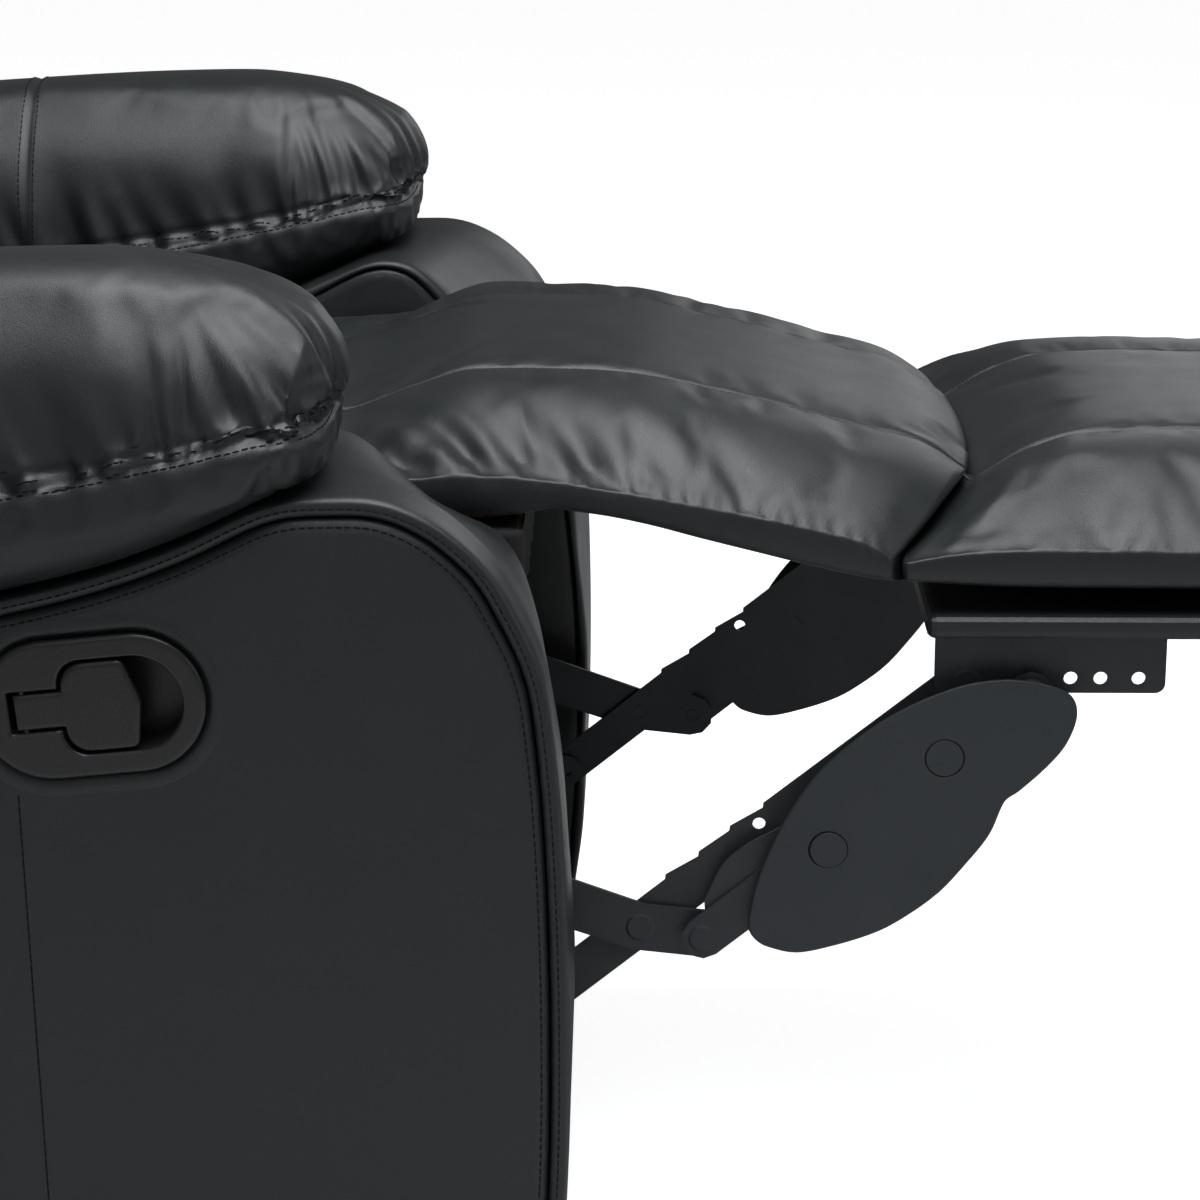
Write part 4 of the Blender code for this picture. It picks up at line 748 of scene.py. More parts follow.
def pillow_fold_places(points, side, stations, seams, halves):
    """For each point: its place along the seam that runs round the nose, and its distance from it."""
    u = ARM_FRONT - points[:, 1]
    x = (points[:, 0] - side * PILLOW_MIDDLE)
    centre_u = -PILLOW_TIP_DISTANCE - PILLOW_NOSE
    seam_u = -PILLOW_TIP_DISTANCE - stations
    seam_turn = np.where(
        seam_u > centre_u, np.arctan2(halves, np.maximum(seam_u - centre_u, 1e-6)), math.pi / 2 + (centre_u - seam_u),
    )
    run = np.concatenate([[0], np.cumsum(np.hypot(np.hypot(np.diff(seam_u), np.diff(halves)), np.diff(seams)))])
    turn = np.where(
        u > centre_u, np.arctan2(np.abs(x), np.maximum(u - centre_u, 1e-6)), math.pi / 2 + (centre_u - u),
    )
    s = np.interp(turn, seam_turn, run)
    at_u = np.interp(turn, seam_turn, seam_u)
    at_x = np.interp(turn, seam_turn, halves)
    at_z = np.interp(turn, seam_turn, seams)
    distance = np.sqrt((u - at_u) ** 2 + (np.abs(x) - at_x) ** 2 + (points[:, 2] - at_z) ** 2)
    above = np.where(points[:, 2] >= at_z, 1.0, -1.0)
    return np.where(x < 0, -1.0, 1.0) * s, distance * above


PILLOW_TIP_DISTANCE = -PILLOW_TIP


def make_arm_pillow(side, mark):
    stations = pillow_stations()
    table = through(PILLOW_shares, stations / PILLOW_LENGTH)
    under = ARM_TOP + PILLOW_RISE * table[:, 0]
    top = ARM_TOP + PILLOW_RISE * table[:, 1]
    half = (PILLOW_HALF - 0.002) * table[:, 2]
    rings, seams = [], []
    for station, low, high, wide in zip(stations, under, top, half):
        section, seam = pillow_section(low, high, wide)
        u = np.full(len(section), -PILLOW_TIP_DISTANCE - station)
        rings.append(to_world(u, section[:, 1], side * PILLOW_MIDDLE + section[:, 0]))
        seams.append(seam)
    seams = np.array(seams)
    piece = ring_piece(f"arm_pillow_cover_{mark}", rings)
    s, h = pillow_fold_places(coordinates(piece), side, stations, seams, half)
    low_part = h < -0.03
    held = np.where(np.abs(h) < 0.004, 1.0, 0.0) + np.where(low_part, 1.0, 0.0)
    stuff(piece, np.clip(held, 0, 1), pressure=3.0, slack=0.05, cap=0.005)
    refine(piece)
    s, h = pillow_fold_places(coordinates(piece), side, stations, seams, half)
    rng = np.random.default_rng(7 if side == RIGHT else 8)
    end = PILLOW_LENGTH - 0.05
    away = np.abs(s)
    depths = np.zeros_like(s)
    nose_end = PILLOW_NOSE * 1.5
    for facing in (-1, 1):
        here = np.where(np.sign(s) == facing, away, -1.0)
        for low, high, pitch, depth, width, length, lean in GATHERS:
            low, high = nose_end * low, end if high is None else nose_end * high
            depths += fold_depths(rng, here, h, spread(rng, low, high, pitch), depth, width, length, lean)
        depths += fold_depths(rng, here, -h, spread(rng, 0.0, end, 0.030), 0.0016, 0.0045, 0.030, 0.20)
    depths += groove(h, 0.0026, 0.0024) + groove(h - SEAM_BAND, 0.0018, 0.0022)
    cross = -PILLOW_TIP_DISTANCE - PILLOW_LENGTH * CROSS_SEAM_share
    u = ARM_FRONT - coordinates(piece)[:, 1]
    depths += np.where(h > 0, groove(u - cross, 0.0016, 0.0018), 0.0)
    depths += np.where(h < 0, groove(u - NOSE_SEAM, 0.0014, 0.0022), 0.0)
    press(piece, depths)
    seam_u = -PILLOW_TIP_DISTANCE - stations
    paths = []
    for facing in (-1, 1):
        for rise in (0.0006, SEAM_BAND * 0.9):
            line = to_world(seam_u, seams + rise, side * PILLOW_MIDDLE + facing * half)
            paths.append(line[2:-6])
    for shift in (-0.005, 0.005):
        index = int(np.argmin(np.abs(seam_u - cross)))
        section, seam = pillow_section(under[index], top[index], half[index])
        upper = section[:53]
        paths.append(to_world(np.full(len(upper), cross + shift), upper[:, 1], side * PILLOW_MIDDLE + upper[:, 0]))
    add_stitches(piece, paths)
    finish_cushion(piece, "base", f"arm_pillow_{mark}")
    return piece


def finish_cushion(piece, body, *nodes, fill=0.75):
    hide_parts(*nodes)
    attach(piece, body)


# Arm covers
def curved(points):
    """A smooth line through all but the first and last of a list of points."""
    line = []
    for a, b, c, d in zip(points, points[1:], points[2:], points[3:]):
        for t in np.linspace(0, 1, 12, endpoint=False):
            line.append(0.5 * (2 * b + (c - a) * t + (2 * a - 5 * b + 4 * c - d) * t ** 2
                               + (3 * b - a - 3 * c + d) * t ** 3))
    line.append(points[-2])
    return np.array(line)


def evenly(line, spacing):
    length = np.linalg.norm(np.diff(line, axis=0), axis=1).sum()
    return resampled(line, np.linspace(0, 1, max(int(length / spacing), 2) + 1))


def smooth_line(points, spacing):
    """A smooth line through a list of points, evenly spaced."""
    points = np.array(points, float)
    ends = 2 * points[0] - points[1], 2 * points[-1] - points[-2]
    return evenly(curved(np.concatenate([[ends[0]], points, [ends[1]]])), spacing)


def smooth_loop(points, spacing):
    """A smooth closed outline through a list of points, evenly spaced."""
    points = np.array(points, float)
    return evenly(curved(np.concatenate([points[-1:], points, points[:2]])), spacing)[:-1]


def arm_outline(contour, counts=None):
    """A closed outline from a contour: up the front, back along the top, down the rear and forward."""
    front_top = smooth_line(contour, ARM_STEP)
    rear_z = contour[-1][1]
    rear_top, rear_bottom = (ARM_REAR, rear_z), (ARM_REAR, ARM_BOTTOM)
    stretches = [
        front_top,
        np.array([front_top[-1], rear_top]),
        np.array([rear_top, rear_bottom]),
        np.array([rear_bottom, front_top[0]]),
    ]
    lines = []
    for number, stretch in enumerate(stretches):
        length = np.linalg.norm(np.diff(stretch, axis=0), axis=1).sum()
        count = counts[number] if counts else max(int(length / ARM_STEP), 3)
        lines.append(resampled(stretch, np.linspace(0, 1, count + 1))[:-1])
    return drawn_in(np.concatenate(lines), -SKIN_LIFT), [len(line) for line in lines]


def turns(outline):
    """The turn at each point of a closed outline."""
    ahead = np.roll(outline, -1, axis=0) - outline
    angles = np.arctan2(ahead[:, 1], ahead[:, 0])
    return (angles - np.roll(angles, 1) + math.pi) % math.tau - math.pi


def moved_in(points, distance):
    """An open line moved to its left."""
    ahead = np.gradient(points, axis=0)
    ahead /= np.linalg.norm(ahead, axis=1, keepdims=True)
    return points + np.stack([-ahead[:, 1], ahead[:, 0]], axis=1) * distance


def drawn_in(outline, distance):
    """A closed outline moved inward by a distance, with its corners kept at the same points."""
    turn = turns(outline)
    corners = np.flatnonzero(np.abs(turn) > CORNER_TURN)
    if len(corners) == 0:
        closed = np.concatenate([outline[-1:], outline, outline[:1]])
        return moved_in(closed, distance)[1:-1]
    result = np.empty_like(outline)
    count = len(outline)
    for first, last in zip(corners, np.roll(corners, -1)):
        indices = np.arange(first, last + 1 if last > first else last + count + 1) % count
        stretch = outline[indices]
        cuts = [distance * math.tan(turn[corner] / 2) for corner in (first, last)]
        lengths = np.linalg.norm(np.diff(stretch, axis=0), axis=1)
        total = lengths.sum()
        line = moved_in(stretch, distance)
        before = line[0] - (line[1] - line[0]) / np.linalg.norm(line[1] - line[0])
        beyond = line[-1] + (line[-1] - line[-2]) / np.linalg.norm(line[-1] - line[-2])
        line = np.concatenate([[before], line, [beyond]])
        run = np.concatenate([[0], np.cumsum(np.linalg.norm(np.diff(line, axis=0), axis=1))])
        places = np.concatenate([[0], np.cumsum(lengths)]) / total
        wanted = 1 + cuts[0] + places * (run[-1] - 2 - cuts[0] - cuts[1])
        moved = np.stack([np.interp(wanted, run, line[:, axis]) for axis in range(2)], axis=1)
        result[indices[:-1]] = moved[:-1]
    return result


def strip_faces(loop_count, point_count, closed=False):
    faces = []
    for loop in range(loop_count if closed else loop_count - 1):
        start, following = loop * point_count, (loop + 1) % loop_count * point_count
        for index in range(point_count):
            after = (index + 1) % point_count
            faces.append((start + index, start + after, following + after, following + index))
    return faces


def fill_flat(piece, edge_loops):
    """Close a flat opening of the piece that has the given loops of vertices round it."""
    shape = bmesh.new()
    shape.from_mesh(piece.data)
    shape.verts.ensure_lookup_table()
    edges = []
    for loop in edge_loops:
        for start, end in zip(loop, [*loop[1:], loop[0]]):
            pair = (shape.verts[start], shape.verts[end])
            edges.append(shape.edges.get(pair) or shape.edges.new(pair))
    bmesh.ops.triangle_fill(shape, use_beauty=True, edges=edges)
    for edge in edges:
        edge.smooth = False
    bmesh.ops.recalc_face_normals(shape, faces=shape.faces)
    shape.to_mesh(piece.data)
    shape.free()


def stadium(length, width, steps=28):
    half, radius = (length - width) / 2, width / 2
    front = np.linspace(-math.pi / 2, math.pi / 2, steps)
    points = np.concatenate([
        np.stack([half + radius * np.cos(front), radius * np.sin(front)], axis=1),
        np.stack([-half - radius * np.cos(front), -radius * np.sin(front)], axis=1),
    ])
    return points


def tilted(points):
    """Cup outlines turned to the cup's tilt and moved to its place on the arm."""
    cos, sin = math.cos(CUP_TILT), math.sin(CUP_TILT)
    return np.stack([
        -CUP_PLACE + points[:, 0] * cos - points[:, 1] * sin,
        CUP_HEIGHT + points[:, 0] * sin + points[:, 1] * cos,
    ], axis=1)


def panel_piece(name, side, outline, profile, face_x, inward, hole=None):
    """An upholstered board: loops along a profile, closed flat on both faces, with a hole if given.

    A hole is a list of (outline, depth), from the front face to the back.
    """
    loops = []
    for distance, depth in profile:
        line = drawn_in(outline, distance)
        loops.append(to_world(line[:, 0], line[:, 1], np.full(len(line), side * (face_x + inward * depth))))
    count = len(outline)
    points = np.concatenate(loops)
    faces = strip_faces(len(loops), count)
    back, front = [list(range(count))], [list(range((len(loops) - 1) * count, len(loops) * count))]
    if hole is not None:
        start, size = len(points), len(hole[0][0])
        rings = [
            to_world(ring[:, 0], ring[:, 1], np.full(size, side * (face_x + inward * depth))) for ring, depth in hole
        ]
        points = np.concatenate([points, *rings])
        faces += [tuple(start + index for index in face) for face in strip_faces(len(rings), size)]
        front.append(list(range(start, start + size)))
        back.append(list(range(len(points) - size, len(points))))
    piece = new_piece(name, points, faces)
    fill_flat(piece, back)
    fill_flat(piece, front)
    return piece


def make_boxing(side, mark, outer, inner):
    """The band round the arm, from the roll at its outer edge down to its inner edge."""
    width = ARM_OUTER - ARM_INNER
    last_in, last_depth = ROLL_PROFILE[-1]
    lines = [(drawn_in(outer, distance), ARM_OUTER - depth) for distance, depth in ROLL_PROFILE]
    start, end = lines[-1][0], inner
    for share in (0.12, 0.26, 0.42, 0.58, 0.74, 0.88, 0.97):
        eased = share ** 0.85
        lines.append((start + (end - start) * eased, ARM_OUTER - last_depth - (width - last_depth) * share))
    for distance, depth in ((0.0012, 0.0018), (0.0028, 0.0006), (0.0046, 0.0008), (0.0056, 0.0024), (0.0058, 0.005)):
        lines.append((drawn_in(inner, distance), ARM_INNER + depth))
    under_inner, under_outer = drawn_in(inner, BOXING_SKIN), drawn_in(outer, last_in + BOXING_SKIN)
    for share in (0.0, 0.35, 0.7, 1.0):
        x = ARM_INNER + 0.012 + (width - 0.034) * share
        lines.append((under_inner + (under_outer - under_inner) * share, x))
    loops = [to_world(line[:, 0], line[:, 1], np.full(len(line), side * x)) for line, x in lines]
    piece = new_piece(f"arm_boxing_{mark}", np.concatenate(loops), strip_faces(len(loops), len(outer), True))
    rng = np.random.default_rng(41 if side == RIGHT else 42)
    points = coordinates(piece)
    u = ARM_FRONT - points[:, 1]
    waves = 0.0009 * np.sin(u * 61 + rng.uniform(0, 6)) * np.sin(points[:, 2] * 47 + rng.uniform(0, 6))
    inside = np.clip((ARM_OUTER - 0.03 - np.abs(points[:, 0])) / 0.04, 0, 1)
    press(piece, waves * inside)
    return piece


def make_arm_covers(side, mark):
    outer, counts = arm_outline(OUTER_CONTOUR)
    inner, _ = arm_outline(INNER_CONTOUR, counts)
    hole = None
    if side == RIGHT:
        hole = [
            (tilted(stadium(CUP_LENGTH + 2 * grow, CUP_WIDTH + 2 * grow)), depth) for grow, depth in HOLE_PROFILE
        ]
    panel = panel_piece(f"arm_side_{mark}", side, outer, SIDE_PROFILE, ARM_OUTER, -1, hole)
    front_count = counts[0]
    line = drawn_in(outer, ARM_SEAM)[:front_count + counts[1]]
    path = to_world(line[:, 0], line[:, 1], np.full(len(line), side * (ARM_OUTER - 0.001)))
    down = np.linspace(*PANEL_SEAM_HEIGHTS, 60)
    seam = to_world(np.interp(down, PANEL_SEAM_HEIGHTS[::-1], PANEL_SEAM_PLACES[::-1]), down, side * (ARM_OUTER + 0 * down))
    add_stitches(panel, [path])
    add_stitches(panel, [seam], THREAD_PITCH, THREAD_PITCH, THREAD_RADIUS)
    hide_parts(f"outer_side_panel_{mark}")
    lining = panel_piece(f"arm_lining_{mark}", side, inner, INNER_PROFILE, ARM_INNER, 1)
    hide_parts(f"inner_side_panel_{mark}")
    boxing = make_boxing(side, mark, outer, inner)
    line = drawn_in(outer, 0.0060)[:front_count]
    path = to_world(line[:, 0], line[:, 1], np.full(len(line), side * (ARM_OUTER + 0.001)))
    add_stitches(boxing, [path])
    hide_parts(f"arm_front_band_{mark}")
    for piece in (panel, lining, boxing):
        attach(piece, "base")


# Handle
def rounded_arc(centre, radius, start, end, steps=9):
    angles = np.linspace(start, end, steps)
    return [(centre[0] + radius * math.cos(a), centre[1] + radius * math.sin(a)) for a in angles]


def pocket_outline():
    """The keyhole opening: a wide pocket with a round front end and a neck behind it."""
    front_end = CUP_LENGTH / 2 - (CUP_WIDTH - POCKET_WIDTH) / 2
    rear_end = front_end - POCKET_LENGTH
    half, neck, corner = POCKET_WIDTH / 2, NECK_WIDTH / 2, POCKET_CORNER
    quarter = math.pi / 2
    outline = rounded_arc((front_end - half, 0), half, -quarter, quarter, 28)
    outline += rounded_arc((rear_end + corner, half - corner), corner, quarter, 2 * quarter)
    outline += [(rear_end, neck), (rear_end - NECK_LENGTH, neck)]
    outline += [(rear_end - NECK_LENGTH, -neck), (rear_end, -neck)]
    outline += rounded_arc((rear_end + corner, corner - half), corner, 2 * quarter, 3 * quarter)
    return outline


def paddle_outline():
    """The paddle fills the keyhole but for the finger gap in front of it."""
    front_end = CUP_LENGTH / 2 - (CUP_WIDTH - POCKET_WIDTH) / 2
    rear_end = front_end - POCKET_LENGTH + PADDLE_PLAY
    half, neck = POCKET_WIDTH / 2 - PADDLE_PLAY, NECK_WIDTH / 2 - PADDLE_PLAY
    nose = front_end - FINGER_GAP
    quarter = math.pi / 2
    corner, big = PADDLE_CORNER, POCKET_CORNER
    outline = rounded_arc((nose - PADDLE_POINT / 2 - corner, corner - half), corner, -quarter, 0)
    outline.append((nose, 0))
    outline += rounded_arc((nose - PADDLE_POINT - corner, half - corner), corner, 0, quarter)
    outline += rounded_arc((rear_end + big, half - big), big, quarter, 2 * quarter)
    outline += [(rear_end, neck), (rear_end - NECK_LENGTH + PADDLE_PLAY, neck)]
    outline += [(rear_end - NECK_LENGTH + PADDLE_PLAY, -neck), (rear_end, -neck)]
    outline += rounded_arc((rear_end + big, big - half), big, 2 * quarter, 3 * quarter)
    return outline


def dense(outline, spacing=0.0012):
    """A closed outline with points added along its long stretches."""
    closed = np.array([*outline, outline[0]])
    points = []
    for start, end in zip(closed, closed[1:]):
        count = max(int(np.linalg.norm(end - start) / spacing), 1)
        points += [start + (end - start) * step / count for step in range(count)]
    return np.array(points)


def on_arm(outline, height):
    """Points of a cup outline at a height over the right arm's face."""
    placed = tilted(outline)
    return to_world(placed[:, 0], placed[:, 1], np.full(len(placed), -(ARM_OUTER + height)))


def make_handle():
    oval = stadium(CUP_LENGTH, CUP_WIDTH, 44)
    body = stadium(CUP_LENGTH - 2 * CUP_LIP, CUP_WIDTH - 2 * CUP_LIP, 44)
    rings = [on_arm(body, -CUP_DEPTH), on_arm(body, FLANGE_PROFILE[0][1])]
    rings += [on_arm(drawn_in(oval, distance), height) for distance, height in FLANGE_PROFILE]
    count = len(oval)
    points = np.concatenate(rings)
    faces = strip_faces(len(rings), count)
    pocket = dense(pocket_outline(), 0.003)
    wells = [on_arm(drawn_in(pocket, distance), height) for distance, height in POCKET_PROFILE]
    start = len(points)
    points = np.concatenate([points, *wells])
    faces += [tuple(start + index for index in face) for face in strip_faces(len(wells), len(pocket))]
    cup = new_piece("handle_shell", points, faces, PLASTIC)
    last = (len(rings) - 1) * count
    fill_flat(cup, [list(range(count))])
    fill_flat(cup, [list(range(last, last + count)), list(range(start, start + len(pocket)))])
    end = start + (len(wells) - 1) * len(pocket)
    fill_flat(cup, [list(range(end, end + len(pocket)))])
    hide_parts("handle_cup")
    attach(cup, "base")
    outline = dense(paddle_outline(), 0.003)
    rings = [on_arm(drawn_in(outline, distance), height) for distance, height in PADDLE_PROFILE]
    paddle = new_piece("handle_grip", np.concatenate(rings), strip_faces(len(rings), len(outline)), PLASTIC)
    fill_flat(paddle, [list(range(len(outline)))])
    fill_flat(paddle, [list(range(len(outline) * (len(rings) - 1), len(outline) * len(rings)))])
    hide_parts("handle_paddle")
    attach(paddle, "handle")


# Guard plates
def beside_link(distance, offset):
    """A place along the cover link from its lower joint, and square to it."""
    start, end = np.array(COVER_LINK_JOINT), np.array(COVER_REST_JOINT)
    along = (end - start) / np.linalg.norm(end - start)
    return start + along * distance + np.array([-along[1], along[0]]) * offset


def plate_skin(outline, profile, side, face):
    """The rim of a flat plate, as (points, faces), from its inner side to its outer side at face."""
    rings = [
        to_world(*drawn_in(outline, distance).T, np.full(len(outline), side * (face - depth)))
        for distance, depth in profile
    ]
    return np.concatenate(rings), strip_faces(len(rings), len(outline))


def make_link_web(side, mark):
    """The thin stamped web that widens the cover link towards the guard plate."""
    outline = smooth_loop([beside_link(distance, offset) for distance, offset in WEB_POINTS], GUARD_STEP)
    points, faces = plate_skin(outline, WEB_PROFILE, side, LINK_FACE)
    piece = new_piece(f"link_web_{mark}", points, faces, STEEL)
    for start in (0, len(points) - len(outline)):
        fill_flat(piece, [list(range(start, start + len(outline)))])
    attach(piece, "cover_links")


def make_guard(side, mark):
    """The guard plate with two round studs let into it, and their posts behind."""
    face = -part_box("guard_plate_r")[0].x - GUARD_STUD_PROUD
    outline = smooth_loop([beside_link(GUARD_LENGTH * s, GUARD_WIDTH * n) for s, n in GUARD_OUTLINE_shares], GUARD_STEP)
    points, faces = plate_skin(outline, GUARD_PROFILE, side, face)
    fills = [[list(range(len(outline)))], [list(range(len(points) - len(outline), len(points)))]]
    turn = np.linspace(0, math.tau, 48, endpoint=False)
    circle = np.stack([np.cos(turn), np.sin(turn)], axis=1)
    for number, (s, n) in enumerate(GUARD_POSTS_shares):
        centre = beside_link(GUARD_LENGTH * s, GUARD_WIDTH * n)
        shift = np.array(STUD_SHIFTS[number])
        for profile, middle in ((STUD_HOLE_PROFILE, centre), (STUD_PROFILE, centre + shift)):
            start = len(points)
            for radius, depth in profile:
                ring = middle + circle * radius
                points = np.concatenate([points, to_world(*ring.T, np.full(len(ring), side * (face - depth)))])
            faces += [tuple(start + index for index in f) for f in strip_faces(len(profile), len(circle))]
            first, last = list(range(start, start + len(circle))), list(range(len(points) - len(circle), len(points)))
            if profile is STUD_HOLE_PROFILE:
                fills[0].append(last)
                fills[1].append(first)
            else:
                fills += [[first], [last]]
    piece = new_piece(f"guard_shield_{mark}", points, faces, STEEL)
    for loops in fills:
        fill_flat(piece, loops)
    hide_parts(f"guard_plate_{mark}")
    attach(piece, "cover_links")


# Back
def on_back(x, v, w):
    cos, sin = math.cos(BACK_LEAN), math.sin(BACK_LEAN)
    x, v, w = np.broadcast_arrays(x, v, w)
    return np.stack([x, HINGE_Y - v * cos + w * sin, HINGE_Z + v * sin + w * cos], axis=-1)


def from_back(points):
    """A point's (x, v, w) on the back."""
    cos, sin = math.cos(BACK_LEAN), math.sin(BACK_LEAN)
    y, z = points[:, 1] - HINGE_Y, points[:, 2] - HINGE_Z
    return points[:, 0], -y * cos + z * sin, y * sin + z * cos


def block_rings(x_ends, v_ends, w_ends, bulge_shares, draw, count):
    shares = 0.5 - 0.5 * np.cos(np.linspace(0, 1, count) * math.pi)
    shares = 0.5 * shares + 0.5 * np.linspace(0, 1, count)
    bulges = through(bulge_shares, shares)[:, 0]
    angle = math.pi / 2 - math.pi * np.linspace(0, 1, 150)
    lift = np.sign(np.sin(angle)) * np.abs(np.sin(angle)) ** BLOCK_RISE_POWER
    reach = np.abs(np.cos(angle)) ** BLOCK_REACH_POWER
    middle = (w_ends[0] + w_ends[1]) / 2
    rings = []
    for share, bulge in zip(shares, bulges):
        half = (w_ends[1] - w_ends[0]) / 2 - draw * (1 - bulge)
        depth = (v_ends[1] - v_ends[0]) * bulge
        front = np.stack([v_ends[0] + depth * reach, middle + half * lift], axis=1)
        front = resampled(front, np.linspace(0, 1, 61))
        rear_w = np.linspace(front[-1][1], front[0][1], 32)[1:-1]
        ring = np.concatenate([front, np.stack([np.full(len(rear_w), v_ends[0]), rear_w], axis=1)])
        x = x_ends[0] + (x_ends[1] - x_ends[0]) * share
        rings.append(on_back(np.full(len(ring), x), ring[:, 0], ring[:, 1]))
    return rings


def stuffed_block(name, node, x_ends, v_ends, w_ends, bulge_shares, draw, seed, count=84):
    piece = ring_piece(name, block_rings(x_ends, v_ends, w_ends, bulge_shares, draw, count))
    x, v, w = from_back(coordinates(piece))
    rear = v < v_ends[0] + 0.004
    stuff(piece, rear.astype(float), pressure=3.5, slack=0.05, cap=0.012)
    refine(piece)
    x, v, w = from_back(coordinates(piece))
    rng = np.random.default_rng(seed)
    low, high = min(x_ends), max(x_ends)
    depths = np.zeros(len(x))
    front = v > v_ends[0] + 0.010
    for edge in (x - low, high - x):
        h = np.where(front, edge + 0.35 * np.clip(v_ends[1] - v, 0, 1), -1.0)
        depths += fold_depths(rng, w, h, spread(rng, w_ends[0], w_ends[1], 0.014), 0.0035, 0.0036, 0.075)
        depths += fold_depths(rng, w, h, spread(rng, w_ends[0], w_ends[1], 0.045), 0.0060, 0.0110, 0.130)
    for edge in (w - w_ends[0], w_ends[1] - w):
        h = np.where(front, edge, -1.0)
        depths += fold_depths(rng, x, h, spread(rng, low, high, 0.020), 0.0028, 0.0036, 0.048)
        depths += fold_depths(rng, x, h, spread(rng, low, high, 0.065), 0.0045, 0.0120, 0.090)
    press(piece, depths)
    finish_cushion(piece, "backrest", node)


def board_piece(name, outline, profile, place, node, body):
    """An upholstered board; place(points, height) puts an outline into the chair."""
    outline = dense(outline, 0.006)
    rings = [place(drawn_in(outline, distance), height) for distance, height in profile]
    piece = new_piece(name, np.concatenate(rings), strip_faces(len(rings), len(outline)))
    fill_flat(piece, [list(range(len(outline)))])
    fill_flat(piece, [list(range(len(outline) * (len(rings) - 1), len(outline) * len(rings)))])
    path = place(drawn_in(outline, 0.0165), profile[-1][1])
    add_stitches(piece, [np.concatenate([path, path[:1]])])
    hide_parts(node)
    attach(piece, body)


def make_back():
    for number, (node, low, high, thickness) in enumerate(BACK_PILLOWS):
        stuffed_block(
            f"{node}_cover", node, (-BACK_HALF + 0.002, BACK_HALF - 0.002), (BACK_FRONT, BACK_FRONT + thickness),
            (low, high), PILLOW_BULGE_shares, thickness / 4, 60 + number,
        )
    for side, mark in SIDES:
        ends = (side * (BACK_HALF + 0.0005), side * (BACK_HALF + WING_WIDTH - 0.002))
        stuffed_block(
            f"back_wing_cover_{mark}", f"back_wing_{mark}", ends, (-WING_REAR, WING_DEPTH - WING_REAR),
            (WING_LOW, WING_TOP), WING_BULGE_shares, WING_WIDTH / 4, 70 + side, 24,
        )
    low, wide, corner = REAR_PANEL_HALF, SHOULDER_HALF, SHOULDER_CORNER
    right = [(low, REAR_PANEL_LOW), (low, SHOULDER), (wide, SHOULDER)]
    right += rounded_arc((wide - corner, REAR_PANEL_TOP - corner), corner, 0, math.pi / 2, 12)
    outline = right + [(-x, w) for x, w in reversed(right)]
    board_piece(
        "back_rear_cover", outline, BOARD_PROFILE,
        lambda points, height: on_back(points[:, 0], np.full(len(points), -BACK_FRONT - height), points[:, 1]),
        "back_rear_panel", "backrest",
    )
    make_back_boxing(outline)
    outline = [
        (SKIRT_LOW.x, SKIRT_LOW.z), (SKIRT_HIGH.x, SKIRT_LOW.z), (SKIRT_HIGH.x, SKIRT_HIGH.z),
        (SKIRT_LOW.x, SKIRT_HIGH.z),
    ]
    board_piece(
        "rear_skirt_cover", outline, [(distance, height * 0.66) for distance, height in BOARD_PROFILE],
        lambda points, height: np.stack(
            [points[:, 0], np.full(len(points), SKIRT_LOW.y + height), points[:, 1]], axis=1),
        "rear_skirt", "base",
    )


def make_back_boxing(outline):
    """The band that closes the back's sides and top, between the rear board and the pillows."""
    path = moved_in(np.array(outline), BOXING_INSET)
    length = np.linalg.norm(np.diff(path, axis=0), axis=1).sum()
    path = resampled(path, np.linspace(0, 1, int(length / 0.005)))
    count = len(path)
    inner = moved_in(path, BOXING_SHEET)
    rows = [(path, v) for v in np.linspace(*BOXING_DEPTH, 8)] + [(inner, v) for v in np.linspace(*BOXING_DEPTH[::-1], 3)]
    points = np.concatenate([on_back(line[:, 0], np.full(count, v), line[:, 1]) for line, v in rows])
    faces = []
    for row in range(len(rows)):
        start, following = row * count, (row + 1) % len(rows) * count
        for index in range(count - 1):
            faces.append((start + index, start + index + 1, following + index + 1, following + index))
    ends = [tuple(row * count + column for row in range(len(rows))) for column in (0, count - 1)]
    piece = new_piece("back_boxing", points, [*faces, *ends])
    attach(piece, "backrest")


# Seat border and front curtain
def hung_strip(name, path, top, bottom, wave, seed, thickness=0.0012, rows=12):
    """A strip of material hanging along a path, waving more towards its lower edge."""
    rng = np.random.default_rng(seed)
    ahead = np.gradient(path, axis=0)
    ahead /= np.linalg.norm(ahead, axis=1, keepdims=True)
    outward = np.stack([ahead[:, 1], -ahead[:, 0]], axis=1)
    run = np.concatenate([[0], np.cumsum(np.linalg.norm(np.diff(path, axis=0), axis=1))])
    ripple = sum(np.sin(run * rng.uniform(60, 190) + rng.uniform(0, 6)) / 3 for _ in range(4))
    loops = []
    for face, order in ((1, 1), (0, -1)):
        for share in np.linspace(0, 1, rows)[::order]:
            shift = wave * ripple * share + thickness * face
            line = path + outward * shift[:, None]
            loops.append(np.column_stack([line, np.full(len(line), top + (bottom - top) * share)]))
    points = np.concatenate(loops)
    count = len(path)
    faces = []
    for loop in range(len(loops)):
        start, following = loop * count, (loop + 1) % len(loops) * count
        for index in range(count - 1):
            faces.append((start + index, start + index + 1, following + index + 1, following + index))
    for column in (0, count - 1):
        side = [loop * count + column for loop in range(len(loops))]
        for index in range(rows - 1):
            faces.append((side[index], side[index + 1], side[-2 - index], side[-1 - index]))
    piece = new_piece(name, points, faces)
    shape = bmesh.new()
    shape.from_mesh(piece.data)
    bmesh.ops.recalc_face_normals(shape, faces=shape.faces)
    shape.to_mesh(piece.data)
    shape.free()
    return piece


